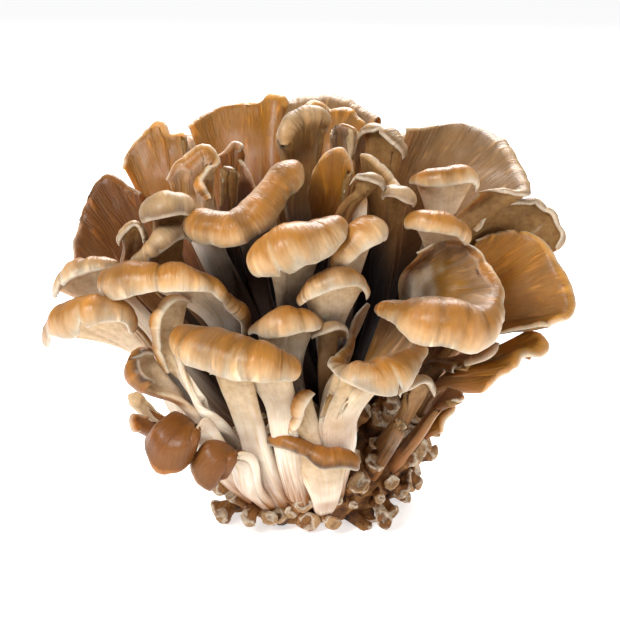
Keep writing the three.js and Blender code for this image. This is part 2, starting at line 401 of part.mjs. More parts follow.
// The closed skin around a frond's middle surface.
function frondSkin(frond) {
  const rows = blade(frond);
  const lastRow = rows.length - 1;
  const lastRing = rows[0].length - 1;
  const at = (i, j) => {
    const row = rows[THREE.MathUtils.clamp(i, 0, lastRow)];
    return row[THREE.MathUtils.clamp(j, 0, lastRing)].point;
  };
  const points = [];
  const upper = rows.map(() => []);
  const lower = rows.map(() => []);
  rows.forEach((row, i) => row.forEach(({ point, half }, j) => {
    const across = at(i + 1, j).clone().sub(at(i - 1, j));
    const outward = at(i, j + 1).clone().sub(at(i, j - 1));
    const normal = across.cross(outward).normalize();
    upper[i][j] = points.push(point.clone().addScaledVector(normal, -half)) - 1;
    const edge = i === 0 || i === lastRow || j === lastRing;
    lower[i][j] = edge
      ? upper[i][j]
      : points.push(point.clone().addScaledVector(normal, half)) - 1;
  }));
  const faces = [];
  const quad = (a, b, c, d) => faces.push([a, b, c], [a, c, d]);
  for (let i = 0; i < lastRow; i++) {
    for (let j = 0; j < lastRing; j++) {
      quad(upper[i][j], upper[i][j + 1], upper[i + 1][j + 1], upper[i + 1][j]);
      quad(lower[i][j], lower[i + 1][j], lower[i + 1][j + 1], lower[i][j + 1]);
    }
    quad(upper[i][0], upper[i + 1][0], lower[i + 1][0], lower[i][0]);
  }
  return { points, faces: faces.filter(([a, b, c]) => a !== b && b !== c && c !== a) };
}

// The base: stacked ovals with low lumps where the small aborted fronds sit.
function baseSkin() {
  const points = [];
  const faces = [];
  for (const [z, x, y, radiusX, radiusY] of BASE_LEVELS) {
    for (let k = 0; k < BASE_SIDES; k++) {
      const w = (2 * Math.PI * k) / BASE_SIDES;
      const wave = Math.sin(LUMPS * w + z) * Math.sin(DRIFT * w - z / 2);
      const swell = z > LUMPY_FROM && z < LUMPY_TO ? 1 + LUMP * wave : 1;
      const [reachX, reachY] = [radiusX * swell, radiusY * swell];
      points.push(new THREE.Vector3(x + reachX * Math.cos(w), y + reachY * Math.sin(w), z));
    }
  }
  const rings = BASE_LEVELS.length;
  for (let r = 0; r < rings - 1; r++) {
    for (let k = 0; k < BASE_SIDES; k++) {
      const [a, b] = [r * BASE_SIDES + k, r * BASE_SIDES + ((k + 1) % BASE_SIDES)];
      faces.push([a, b, b + BASE_SIDES], [a, b + BASE_SIDES, a + BASE_SIDES]);
    }
  }
  const top = (rings - 1) * BASE_SIDES;
  for (let k = 1; k < BASE_SIDES - 1; k++) {
    faces.push([0, k + 1, k], [top, top + k, top + k + 1]);
  }
  return { points, faces };
}

const wasm = await Module();
wasm.setup();

function solidOf({ points, faces }) {
  return new wasm.Manifold(new wasm.Mesh({
    numProp: 3,
    vertProperties: new Float32Array(points.flatMap((p) => p.toArray())),
    triVerts: new Uint32Array(faces.flat()),
  }));
}

// The same skin, pushed outward by the clear gap: what a neighbour is cut back to.
function clearance(skin) {
  const normals = skin.points.map(() => new THREE.Vector3());
  for (const [a, b, c] of skin.faces) {
    const ab = skin.points[b].clone().sub(skin.points[a]);
    const normal = ab.cross(skin.points[c].clone().sub(skin.points[a])).normalize();
    for (const corner of [a, b, c]) normals[corner].add(normal);
  }
  const points = skin.points.map((p, i) => p.clone().addScaledVector(normals[i].normalize(), GAP));
  return solidOf({ points, faces: skin.faces }).add(solidOf(skin));
}

function boxesMeet(a, b) {
  return [0, 1, 2].every((i) => a.min[i] < b.max[i] + GAP && b.min[i] < a.max[i] + GAP);
}

function meshOf(name, solid, look) {
  const { vertProperties, triVerts } = solid.getMesh();
  const geometry = new THREE.BufferGeometry();
  geometry.setAttribute("position", new THREE.BufferAttribute(vertProperties, 3));
  geometry.setIndex(new THREE.BufferAttribute(triVerts, 1));
  geometry.computeVertexNormals();
  const mesh = new THREE.Mesh(geometry, new THREE.MeshStandardMaterial({ ...look, metalness: 0 }));
  mesh.name = name;
  return mesh;
}

const CAP_FLESH = { color: "#b98450", roughness: 0.5 };
const LEAF_FLESH = { color: "#a8743f", roughness: 0.5 };
const BASE_FLESH = { color: "#b39a7c", roughness: 0.75 };

const group = new THREE.Group();
const base = baseSkin();
group.add(meshOf("cut_base", solidOf(base), BASE_FLESH));

// Fronds are trimmed in the order of the list, so a frond in front keeps its shape and the ones
// behind give way.
const placed = [{ room: clearance(base), box: solidOf(base).boundingBox() }];
for (const frond of FRONDS) {
  const skin = frondSkin(frond);
  let solid = solidOf(skin);
  const box = solid.boundingBox();
  for (const neighbour of placed) {
    if (boxesMeet(box, neighbour.box)) solid = solid.subtract(neighbour.room);
  }
  const pieces = solid.simplify(SMOOTHING).decompose().sort((a, b) => b.volume() - a.volume());
  const isLeaf = frond.rim.every((point) => point[4] <= LEAF_ROLL);
  group.add(meshOf(frond.name, pieces[0], isLeaf ? LEAF_FLESH : CAP_FLESH));
  placed.push({ room: clearance(skin), box });
}

export default group;
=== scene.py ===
"""Maitake: a head of curled fronds on pale stems that grow from one cut base, on a pale floor."""
import json
import math
from functools import partial

import bpy
import numpy as np
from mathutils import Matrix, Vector

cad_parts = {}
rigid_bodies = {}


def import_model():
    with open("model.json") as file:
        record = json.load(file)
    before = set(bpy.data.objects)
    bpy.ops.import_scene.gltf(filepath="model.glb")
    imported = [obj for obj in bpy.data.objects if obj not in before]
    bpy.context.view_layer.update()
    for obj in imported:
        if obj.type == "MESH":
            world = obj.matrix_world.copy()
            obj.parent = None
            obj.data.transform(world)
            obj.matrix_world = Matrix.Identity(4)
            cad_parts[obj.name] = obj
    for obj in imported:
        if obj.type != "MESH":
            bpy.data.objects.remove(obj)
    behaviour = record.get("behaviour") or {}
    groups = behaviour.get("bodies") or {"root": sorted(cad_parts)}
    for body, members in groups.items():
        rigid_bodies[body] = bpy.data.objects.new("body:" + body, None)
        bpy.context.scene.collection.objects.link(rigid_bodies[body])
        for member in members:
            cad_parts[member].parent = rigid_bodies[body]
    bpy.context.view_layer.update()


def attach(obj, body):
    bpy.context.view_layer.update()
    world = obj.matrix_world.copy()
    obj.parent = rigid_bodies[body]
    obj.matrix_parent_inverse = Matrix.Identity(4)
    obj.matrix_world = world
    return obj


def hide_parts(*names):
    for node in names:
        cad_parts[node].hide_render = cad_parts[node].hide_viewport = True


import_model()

MM = 0.001

# ---- Driving dimensions, in millimetres unless said otherwise ----
BURY = 3  # depth to which a stem's root reaches into the base
SHEET = 1.3  # half thickness of a frond's blade
MARGIN = 0.9  # half thickness of a frond at its rolled edge
LIP = 1.3  # width of the pale lip along the margin
LEAF_ROLL = 100  # fronds that roll no further than this many degrees are open leaves
STEM_END = 0.7  # share of the way to the rim at which a stem has become a blade
ROUND, SLAB = 2, 7  # cross-sections of a stem and of a blade, as powers of an oval
LEAST_ROLL = 0.6  # tightest radius of a rolled edge
TIGHTENING = 0.12  # share of its radius that a roll loses by its end
EVEN_SHARE = 0.55  # how evenly the ribs stand along the rim; the rest bunches them at its ends
AIM_STEP, SPEED_STEP, TANGENT_STEP = 0.03, 0.02, 1e-3  # shares of a curve over which it is measured
SETTLE_STEPS = 4  # rounds in which a rib's end and its direction settle on each other
LENGTH_SAMPLES = 40  # points at which a curve's length is measured

# The mesh: spacing of its lines, and the fewest and the most of them.
RIBS = (0.8, 20, 96)  # across a frond
RINGS = (1.5, 18, 56)  # along a stem
TURNS = (0.6, 8, 30)  # around a rolled edge
TURN_EASE = 1.5  # how much closer the turns lie near the margin

# Irregular growth: its strength, and the width of one bump.
RUFFLE_SHARE, MOST_RUFFLE, CAP_RUFFLE = 0.12, 4.5, 0.55  # of the rim's length; its limit; caps have less
CALM_ENDS = 6  # how close to the two ends of the rim the ruffles reach
RIM_OUT = (0.16, 9)  # the rim's sway out of the blade, in ruffles
RIM_ON = (0.26, 7)  # the rim's sway within the blade, in ruffles
ROLL_RADIUS = (0.26, 10)  # in shares of the radius
ROLL_TURN = (0.16, 9)  # in shares of the turn
WANDER = (0.06, 5)  # the margin's line, in shares of the turn
NICK_DEPTH, NICK_SIZE, NICK_FROM, NICK_FADE = 0.22, 2.6, 0.66, 0.12  # nicks in the margin
THICKNESS = (0.18, 9)  # in shares of the thickness
DENT, DIMPLE = (1.2, 13), (0.5, 6)
FOLD, FOLD_LIFT, CREASE = (1.3, 5), 0.455, (0.3, 2.2)
PLEAT, PITTING, FIBRE = (0.28, 1.2), (0.05, 1.3), (0.07, 1.6)
FULL_RELIEF = 0.6  # half thickness from which a frond carries the whole of its fine relief

# Where along a frond, from 0 at the foot to 1 at the rim, something starts and over how much it grows.
SWAYS, FOLDS_FROM, WRINKLES_FROM = (0.35, 0.5), (0.7, 0.5), (0.9, 0.4)
LEAF_SKIN, CAP_SKIN, SKIN_BLUR = (0.1, 0.3), (0.62, 0.22), (0.12, 4)
SIDE_SKIN = 0.8  # skin colour at the very edge

# The middle of the head, where little light gets in.
HEART = np.array([2.0, 2.0, 55.0])
HEART_SIZE = np.array([54.0, 50.0, 54.0])
HEART_FADE = 0.5
OPEN_SHADE = 0.2  # share of that darkness inside wide open fronds

# The base and its branching core, from the cut face up: height, centre x, centre y, radius x, radius y.
BASE_LEVELS = [
    (0, -1, -3, 17, 16.5), (1.5, 0, -2, 20.5, 20), (5, 3, -1, 24.5, 22), (11, 5, 0, 28, 25),
    (19, 6, 1, 28, 26), (28, 5, 2, 23, 22), (42, 4, 3, 13, 12), (58, 2, 6, 12, 12), (70, 2, 8, 8, 8),
    (76, 2, 8, 3, 3),
]

# Each frond grows from a foot on the base (degrees around it, height) through the points of `via` to
# `top`, the middle of its blade, and ends in a rim. A rim point holds x, y, z and the radius of the
# rolled edge. `stem` is the stem's radius, `flare` is how late the stem spreads into the blade, and
# `roll` is how far the edge rolls, in degrees: one value, or one for each point of the rim.
# `skin` is one of the kinds of flesh below.
FIELDS = ("name", "skin", "foot", "stem", "flare", "roll", "top", "via", "rim")
FRONDS = [
    ("front_left_cap", "golden", (-98, 5), 4, 7, 180, (-14, -42, 61), [(-3, -36, 24.5), (-5, -40, 37.5),
    (-7, -40, 49)], [(-35, -36, 64.5, 3.9), (-27.5, -44, 63, 5.9), (-19, -49, 62, 6.3),
    (-11.5, -52, 61.5, 5.5), (-5, -52, 60.5, 3.9), (-1.5, -50, 59.5, 1.7)]),
    ("front_left_under", "golden", (-112, 6), 4.6, 4, 130, (-20, -40, 52), [(-11.5, -32, 24.5),
    (-15.5, -36, 38)], [(-25.5, -40, 54.5, 1.6), (-19.5, -44, 56.5, 1.7), (-14, -44, 56, 1.6)]),
    ("left_ear", "golden", (-128, 7), 5.6, 4.5, 150, (-36, -32, 63), [(-22.5, -30, 31.5), (-28.5, -35, 43),
    (-33.5, -34, 53)], [(-37.5, -38, 55, 1.6), (-39.5, -38, 62, 1.6), (-39.5, -36, 68.5, 2.1),
    (-36.5, -33, 72.5, 1.7), (-32, -29, 71.5, 1.6)]),
    ("middle_low_roll", "golden", (-75, 30), 3.2, 3.2, 178, (8.5, -35, 73), [(7.5, -28, 59)],
    [(-0.5, -38, 75.5, 2.1), (4, -42, 79, 3.5), (9, -43, 81.5, 4.1), (13, -42, 82, 3.9),
    (15.5, -39, 79.5, 2.9), (17, -36, 76.5, 1.9)]),
    ("middle_right_roll", "golden", (-70, 34), 2.6, 3.6, 180, (15.5, -28, 84.5), [(12, -20, 64.5)],
    [(9, -36, 85, 2.1), (12.5, -37, 89, 3.3), (16, -36, 92.5, 3.9), (19, -33, 94, 3.5),
    (21, -30, 91.5, 1.9)]),
    ("small_grey_cap", "ash", (-82, 28), 2.6, 1.8, 150, (7, -34, 60), [(7, -30, 46.5)],
    [(3.5, -36, 64, 1.6), (6, -38, 66, 2.1), (9.5, -37, 66, 1.7), (11, -34, 62.5, 1.6)]),
    ("front_right_funnel", "golden", (-78, 6), 4, 2.6,
    (50, 60, 90, 140, 165, 165, 165, 150, 120, 80, 60, 60), (18.5, -34, 57), [(9.5, -36, 30.5),
    (10, -40, 43)], [(18.5, -13.5, 67, 1.6), (13.5, -21.5, 63, 1.6), (11, -31, 58.5, 1.6),
    (7.5, -39, 55.5, 3.5), (12, -46, 54, 5.3), (18, -48, 54, 5.7), (24, -46, 55, 5.3),
    (29.5, -40, 57, 4.1), (33, -32, 59, 2.6), (31, -23.5, 61, 1.6), (27.5, -15.5, 63, 1.6),
    (23.5, -13, 65.5, 1.6)]),
    ("front_small_curl", "golden", (-84, 8), 2.4, 2, 170, (1.5, -42, 44.5), [(5.5, -38, 26.5),
    (4.5, -41, 35.5)], [(-3, -42, 38, 1.6), (-0.5, -44, 41.5, 1.6), (0, -44, 46.5, 1.6),
    (3, -42, 50, 1.6)]),
    ("front_low_cap", "russet", (-76, 2.5), 3.4, 2.5, 175, (6.5, -38, 26), [(7, -34, 15)],
    [(-9.5, -38, 34, 1.6), (-4, -42, 35, 1.6), (1, -44, 33, 2.1), (6, -45, 30, 3.1), (12, -44, 29, 3.3),
    (14, -42, 28, 2.1)]),
    ("centre_button", "golden", (-95, 25), 3.6, 2.5, 170, (-5, -34, 61.5), [(-4.5, -30, 49.5)],
    [(-14.5, -32, 64.5, 1.6), (-10, -38, 67, 3.4), (-5, -41, 68.5, 4.1), (0, -40, 69, 3.4),
    (5, -36, 68.5, 1.6)]),
    ("upper_long_roll", "golden", (-110, 34), 3.5, 4, 200, (-17.5, -14, 95), [(-12.5, 0, 65),
    (-14.5, 0, 83.5)], [(-31, -26, 95.5, 4.3), (-25.5, -32, 95, 5.9), (-19, -34, 95, 5.5),
    (-13, -32, 98, 5.1), (-8.5, -28, 102.5, 5.1), (-4.5, -24, 107, 4.7), (-1.5, -20, 110.5, 2.3)]),
    ("middle_roll", "golden", (-85, 34), 3.2, 4, 195, (-1.5, -28, 79.5), [(-3, -18, 59.5)],
    [(-12.5, -38, 87, 4.3), (-7.5, -43, 89, 6.1), (-2, -44, 91.5, 6.1), (3.5, -42, 93.5, 5.5),
    (8, -38, 96, 4.3), (10.5, -34, 97, 2.5)]),
    ("right_round_cap", "golden", (-25, 30), 3.6, 1.6,
    (160, 160, 160, 160, 160, 150, 120, 90, 70, 60, 50, 50), (40.5, -24, 75), [(30, 0, 52), (32, -8, 67)],
    [(21, -36, 73, 1.7), (25.5, -42, 73.5, 3.7), (32, -47, 72.5, 5.4), (40.5, -48, 71, 5.7),
    (47, -46, 69.5, 5.3), (52.5, -40, 72, 4.1), (55, -32, 76, 2.6), (52.5, -24, 80.5, 1.7),
    (50, -19, 84, 1.6), (45.5, -13.5, 86, 1.6), (39, -9.5, 85.5, 1.6), (33, -9.5, 82.5, 1.6)]),
    ("right_top_cap", "golden", (-30, 36), 2.6, 2.2, 175, (38.5, -12, 88), [(38.5, 4, 71.5)],
    [(30, -22, 94, 1.9), (33.5, -26, 95, 2.9), (38.5, -27, 94, 3.4), (43, -25, 92, 2.9),
    (46.5, -21, 89, 1.6)]),
    ("right_brown_band", "golden", (-20, 36), 2.6, 3, 165, (42.5, 0, 97), [(38.5, 8, 78)],
    [(31.5, -8, 103, 1.6), (36.5, -12, 104, 1.9), (41.5, -13, 104.5, 2.3), (46.5, -11, 104, 2.3),
    (49.5, -8, 101, 1.6)]),
    ("upper_right_fan", "ash", (20, 36), 4, 1.4, (80, 100, 110, 100, 80, 60, 50, 40, 40), (46.5, 22, 103),
    [(31.5, 18, 72.5), (34, 16, 87)], [(51.5, -2, 97, 1.6), (58.5, -3.5, 97.5, 2.1), (65.5, 0, 96.5, 2.5),
    (64.5, 13.5, 100, 2.7), (61.5, 25.5, 104.5, 2.5), (55.5, 36, 108, 2.1), (48.5, 40, 109.5, 2.1),
    (39.5, 38.5, 109, 2.1), (30.5, 31, 110, 2.1)]),
    ("right_arched_fan", "ash", (5, 30), 3, 1.2, (100, 120, 120, 120, 110, 90), (60, 12, 82),
    [(42, 14, 64)], [(51.5, 1.5, 85.5, 1.6), (55.5, 2, 90, 1.6), (64, 4, 92.5, 1.6), (72, 4, 90, 1.6),
    (75.5, 0, 85.5, 1.6), (73.5, -4.5, 82, 1.6)]),
    ("right_great_fan", "amber", (0, 24), 3.6, 1.5, (30, 40, 50, 80, 80, 70, 60, 50, 40, 30, 30),
    (67.5, -6, 69.5), [(45, 4, 54)], [(57, -13.5, 57, 1.6), (64, -15, 59, 1.6), (71.5, -15, 60.5, 1.6),
    (76.5, -12.5, 62, 2.1), (79, -11, 65.5, 2.1), (78, -7.5, 71.5, 2.1), (75, -4.5, 76.5, 2.1),
    (71.5, 1, 82, 1.6), (65, 5, 84.5, 1.6), (57, 7, 83.5, 1.6), (52, 7, 81.5, 1.6)]),
    ("right_shadow_leaf", "umber", (-20, 20), 2.4, 1.5, (50, 60, 60, 50), (48.5, -12, 50.5),
    [(37.5, -6, 44)], [(44.5, -15, 48, 1.6), (49, -19, 50, 1.6), (54.5, -20.5, 53, 1.6),
    (57.5, -16.5, 55.5, 1.6)]),
    ("right_twisted_leaf", "amber", (-10, 20), 2.4, 1.2, (30, 40, 50, 90, 100, 90, 60, 40), (60, -14, 48),
    [(41, -10, 41)], [(48.5, -14, 41.5, 1.6), (54.5, -17.5, 44, 1.6), (59.5, -18, 48, 1.6),
    (63.5, -18.5, 51.5, 1.6), (68, -17.5, 52.5, 1.6), (70, -14, 54.5, 1.6), (68, -10.5, 56, 1.6),
    (63, -9, 53, 1.6)]),
    ("right_dark_hood", "umber", (-35, 14), 2.4, 2.2, (60, 80, 80, 60, 50), (44, -30, 43.5),
    [(32, -26, 29.5), (38, -30, 40)], [(42.5, -32.5, 43, 1.6), (44.5, -32, 43, 1.6), (46, -30, 43, 1.6),
    (45, -27.5, 44, 1.6), (42, -25.5, 45, 1.6)]),
    ("right_amber_leaf", "amber", (-20, 12), 2.2, 1.6, (30, 40, 40, 40), (42.5, -13, 32), [(37, -12, 27)],
    [(40.5, -13, 28, 1.6), (43.5, -15, 31, 1.6), (46, -14.5, 34, 1.6), (44.5, -10, 35, 1.6)]),
    ("right_grey_curl", "ash", (-50, 22), 2.6, 1.6, 155, (32, -34, 45.5), [(29.5, -30, 37.5)],
    [(28.5, -38, 48, 1.6), (30.5, -40, 51, 1.7), (34, -38, 51.5, 1.7), (36.5, -34, 46.5, 1.6)]),
    ("right_sprout", "ash", (-52, 14), 2, 1.3, 70, (28.5, -36, 38), [(27, -34, 33)],
    [(29, -35.5, 37.5, 1.6), (28.5, -36, 38.5, 1.6), (28, -36.5, 39.5, 1.6), (28, -36, 38.5, 1.6)]),
    ("left_drooping_cap", "golden", (-150, 12), 3.6, 7, 175, (-57, -26, 69), [(-32, -16, 28.5),
    (-40, -18, 42), (-45.5, -22, 55.5)], [(-73.5, -24, 59, 2.1), (-69, -30, 65, 4.5), (-63, -35, 69, 5.9),
    (-57, -37, 71, 5.5), (-52, -36, 70.5, 4.3), (-48.5, -32, 66, 2.3)]),
    ("left_thumb", "russet", (-140, 8), 5.2, 3, 170, (-39.5, -38, 54.5), [(-27, -29, 27), (-32, -35, 45)],
    [(-42, -42, 52, 2.7), (-44.5, -40, 54.5, 4.1), (-44.5, -36, 57, 3.5), (-41.5, -34, 58, 1.9)]),
    ("left_dark_spur_a", "russet", (-165, 14), 2, 1.2, 45, (-49, -18, 38), [(-41.5, -14, 30)],
    [(-48, -17, 38, 1.6), (-50, -18.5, 40, 1.6), (-51, -19, 39, 1.6), (-49, -18, 38, 1.6)]),
    ("left_dark_spur_b", "russet", (-160, 9), 2.2, 1.2, 50, (-48, -22, 33), [(-39.5, -16, 26)],
    [(-46.5, -19.5, 34.5, 1.6), (-50.5, -22, 35.5, 1.6), (-51, -23.5, 33.5, 1.6), (-49.5, -23, 31.5, 1.6),
    (-47, -22, 31.5, 1.6)]),
    ("left_low_helmet", "russet", (-135, 6), 3.4, 1.2, 95, (-37.5, -47, 33.5), [(-22.5, -32, 25),
    (-30.5, -40, 40), (-35, -47, 39)], [(-43, -38, 35.5, 1.6), (-42.5, -41.5, 32, 1.7),
    (-40, -43.5, 29, 1.7), (-37, -45, 29, 1.7), (-35, -44, 29.5, 1.7), (-33.5, -42, 32, 1.7),
    (-33, -38, 36, 1.6)]),
    ("left_low_helmet_b", "russet", (-118, 3), 3.2, 1.2, 90, (-25.5, -45, 28.5), [(-15, -34, 19),
    (-17, -40, 30.5), (-22, -45, 33.5)], [(-29.5, -39, 30.5, 1.6), (-29.5, -41.5, 27, 1.6),
    (-28, -43, 24.5, 1.6), (-25.5, -43.5, 23, 1.6), (-24, -44, 26.5, 1.6), (-22.5, -42.5, 29, 1.6)]),
    ("left_long_roll", "golden", (-125, 30), 4, 3.2, 170, (-32, -28, 76), [(-20, -16, 55.5),
    (-23.5, -22, 67.5)], [(-55.5, -32, 79.5, 3.6), (-49.5, -36, 80, 5.3), (-42.5, -38, 80.5, 5.4),
    (-34.5, -39, 81, 5.4), (-27.5, -38, 80, 3.6), (-21.5, -34, 75.5, 1.6), (-18, -30, 69, 1.6),
    (-17, -26, 63, 1.6)]),
    ("left_wing", "golden", (-150, 24), 3, 3, 170, (-60.5, -24, 75), [(-45, -14, 59.5)],
    [(-71.5, -18, 71.5, 1.6), (-67, -23, 76, 3.3), (-61.5, -26, 79.5, 4.1), (-56.5, -27, 81.5, 3.5),
    (-52, -25, 81.5, 1.7)]),
    ("left_little_hood", "ash", (-150, 34), 2.4, 2, 150, (-49.5, -20, 87), [(-48, -10, 71)],
    [(-51.5, -24, 88.5, 1.6), (-49.5, -27, 93, 2.1), (-47, -27, 94.5, 2.3), (-45.5, -24, 89, 1.7)]),
    ("left_small_cap", "ash", (-135, 36), 3, 2.4, 170, (-38.5, -20, 93), [(-38, -8, 76.5)],
    [(-44, -24, 96, 2.3), (-41, -28, 98.5, 3.5), (-37.5, -29, 99.5, 3.9), (-34, -27, 99, 3.3),
    (-32.5, -24, 96.5, 1.9)]),
    ("left_wrinkled", "ash", (-128, 34), 3, 2.4, 165, (-39.5, -22, 87), [(-34.5, -14, 73.5)],
    [(-48, -26, 84, 1.7), (-43, -29, 86.5, 2.5), (-39, -29, 90, 3.3), (-35.5, -26, 91, 3.1),
    (-33, -22, 88.5, 1.9)]),
    ("left_bright_cap", "golden", (-150, 37), 5, 1.3, (90, 100, 110, 110, 100, 80, 50), (-33, -8, 102.5),
    [(-29, -2, 82.5)], [(-26.5, -13, 98.5, 1.6), (-28, -10.5, 102.5, 2.1), (-24.5, -9, 107.5, 2.7),
    (-28, -7, 111, 3.1), (-33, -7, 108, 3.1), (-36.5, -7.5, 107, 2.1), (-39.5, -8, 103.5, 1.6)]),
    ("left_back_fan", "umber", (170, 28), 4, 1.4, (60, 80, 80, 60, 50, 50, 50, 50, 40), (-57.5, 14, 84.5),
    [(-42.5, 10, 62)], [(-49.5, 21, 92, 1.6), (-54.5, 24.5, 93, 1.6), (-59.5, 26, 95, 2.1),
    (-63.5, 24.5, 94.5, 1.6), (-65.5, 21, 89.5, 1.6), (-67.5, 17.5, 85, 1.6), (-68, 15.5, 82, 1.6),
    (-70, 12, 78.5, 1.6), (-69.5, 6.5, 74, 1.6)]),
    ("left_amber_fan", "amber", (150, 36), 3.6, 1.5, (40, 50, 50, 50, 50, 50, 50, 40), (-45, 30, 101.5),
    [(-35.5, 20, 75)], [(-35.5, 30, 104, 1.6), (-36.5, 32.5, 108.5, 1.6), (-41.5, 35, 107.5, 1.6),
    (-44.5, 37, 110, 1.6), (-48.5, 37, 108, 1.6), (-52, 35, 104.5, 1.6), (-55, 32.5, 101, 1.6),
    (-56.5, 28, 98, 1.6)]),
    ("top_tall_fan", "amber", (120, 37), 4.5, 1.4, (60, 80, 60, 50, 50, 50, 40), (-20, 38, 106),
    [(-17, 22, 71), (-17, 30, 88.5)], [(-6, 43, 113, 2.1), (-9, 44.5, 116, 2.6), (-13.5, 47, 115, 1.6),
    (-20.5, 48.5, 114.5, 1.6), (-27.5, 48.5, 113, 1.6), (-33, 45, 110.5, 1.6), (-37, 40, 108.5, 1.6)]),
    ("top_back_fan", "amber", (90, 37), 4, 1.4, (70, 80, 70, 80, 80), (5, 44, 105), [(2, 30, 79)],
    [(19.5, 49, 107.5, 2.1), (14.5, 52.5, 110.5, 2.1), (9, 54, 110, 2.1), (4, 54, 112, 2.1),
    (-0.5, 50.5, 112.5, 2.1)]),
    ("top_dark_fan", "umber", (130, 37), 3, 1.2, (40, 50, 60, 60, 50, 40), (-21, 16, 101),
    [(-19.5, 10, 81)], [(-14.5, 12.5, 95.5, 1.6), (-17.5, 16, 102.5, 1.6), (-18, 19, 106.5, 1.6),
    (-21, 21, 107.5, 1.6), (-24, 19, 106, 1.6), (-26.5, 16, 105, 1.6)]),
    ("top_amber_tongue", "umber", (-170, 37), 3.8, 1.5, (40, 50, 50, 50, 40), (-22, 6, 100.5),
    [(-21.5, 2, 77.5)], [(-19.5, 4.5, 100, 1.6), (-19.5, 6.5, 102.5, 1.6), (-22, 7.5, 103.5, 1.6),
    (-24.5, 7.5, 102.5, 1.6), (-25, 4.5, 99.5, 1.6)]),
    ("top_folded_cap", "ash", (60, 37), 3.2, 1.3, (100, 110, 120, 120, 110, 90), (0.5, 8, 112),
    [(0.5, 14, 83), (0, 10, 101)], [(6, 5, 115, 1.6), (5.5, 4, 119, 2.3), (1.5, 2, 120.5, 2.7),
    (-2.5, 0, 119.5, 2.7), (-5.5, -2, 116, 2.1), (-5, 0, 111.5, 1.6)]),
    ("top_brown_tongue", "golden", (50, 37), 3, 1.3, (40, 60, 80, 70, 40), (11.5, 10, 110), [(11, 8, 84.5)],
    [(15, 10, 109.5, 1.6), (16, 11.5, 113.5, 1.6), (12, 13, 115, 1.6), (9.5, 13, 114, 1.6),
    (8, 11.5, 111.5, 1.6)]),
    ("top_grey_roll", "ash", (35, 37), 3, 1.6, 160, (21.5, 8, 104.5), [(21.5, 8, 83)], [(17.5, 8, 112, 1.6),
    (20, 6, 114.5, 2.6), (24, 4, 114, 3.6), (27, 2, 111, 3.6), (29, 2, 107.5, 2.1)]),
    ("top_upright_tongue", "amber", (-100, 37), 3.2, 1.3, (40, 50, 60, 50, 40, 40), (8.5, -8, 100.5),
    [(6.5, -8, 76.5)], [(13, -13, 100.5, 1.6), (14, -12, 107, 1.6), (11, -11.5, 112.5, 1.6),
    (7, -11.5, 111.5, 1.6), (4, -9.5, 103.5, 1.6), (3, -8, 96.5, 1.6)]),
    ("top_saddle", "ash", (-20, 37), 2.8, 1.3, (100, 100, 80, 60, 50), (25.5, -8, 100.5),
    [(24.5, -4, 78.5)], [(30, -14.5, 98.5, 1.6), (28, -10.5, 101.5, 1.6), (26, -6.5, 104.5, 1.6),
    (22, -3, 108, 1.6), (17.5, 1, 109, 1.6)]),
    ("top_saddle_lobe", "ash", (-50, 37), 2.2, 3, 165, (26, -14, 96.5), [(25.5, -2, 74.5),
    (26.5, -6, 86.5)], [(23, -22, 101.5, 1.6), (25.5, -25, 103.5, 2.7), (28.5, -24, 102, 2.5),
    (30.5, -20, 99, 1.6)]),
    ("top_arched_cap", "ash", (-85, 37), 2.4, 2.5, 160, (15.5, -22, 103), [(10, -16, 86),
    (11.5, -20, 97.5)], [(14, -22, 104, 1.6), (16.5, -25, 106, 2.1), (19.5, -26, 106.5, 2.1),
    (22, -23, 104, 1.6)]),
    ("rear_middle_cap", "golden", (90, 20), 4.5, 2.4, 165, (4, 50, 68), [(5, 40, 45)], [(32, 50, 76, 4),
    (18, 59, 82, 5.2), (0, 63, 83, 5.5), (-18, 59, 80, 5.2), (-31, 51, 73, 4)]),
    ("rear_upper_left_cap", "golden", (110, 34), 4, 2, 155, (-26, 42, 88), [(-16, 32, 66)],
    [(-6, 57, 95, 3.5), (-22, 60, 99, 4.6), (-38, 55, 98, 4.6), (-50, 44, 92, 3.5)]),
    ("rear_upper_right_cap", "golden", (70, 34), 4, 2, 150, (32, 44, 88), [(20, 34, 66)],
    [(56, 38, 90, 3.5), (46, 52, 97, 4.8), (30, 59, 99, 4.8), (13, 60, 96, 3.5)]),
    ("rear_left_cap", "golden", (140, 20), 4.2, 2.2, 160, (-44, 36, 62), [(-28, 28, 44)],
    [(-30, 55, 70, 3.5), (-44, 54, 76, 5), (-56, 44, 76, 5), (-62, 30, 71, 3.5)]),
    ("rear_right_cap", "golden", (40, 20), 4.2, 2.2, 165, (52, 32, 58), [(36, 28, 42)], [(75, 16, 62, 3.5),
    (71, 32, 69, 5), (61, 45, 72, 5.4), (46, 53, 71, 5), (34, 56, 66, 3.5)]),
    ("rear_low_middle_cap", "golden", (95, 10), 3.6, 2.4, 170, (0, 46, 40), [(2, 38, 20)], [(22, 46, 46, 3),
    (9, 55, 52, 4.4), (-6, 57, 52, 4.4), (-20, 50, 47, 3)]),
    ("rear_low_left_cap", "golden", (135, 8), 3.6, 2.4, 165, (-33, 34, 36), [(-24, 26, 20)],
    [(-22, 46, 43, 3), (-33, 47, 48, 4.2), (-43, 39, 48, 4.2), (-46, 27, 44, 3)]),
    ("rear_low_right_cap", "golden", (50, 8), 3.6, 2.4, 165, (40, 34, 34), [(31, 27, 20)], [(55, 22, 38, 3),
    (52, 36, 46, 4.2), (41, 45, 48, 4.4), (28, 47, 44, 3)]),
    ("rear_top_cap", "ash", (90, 40), 4, 1.8, 150, (2, 46, 102), [(2, 32, 80)], [(24, 57, 107, 3),
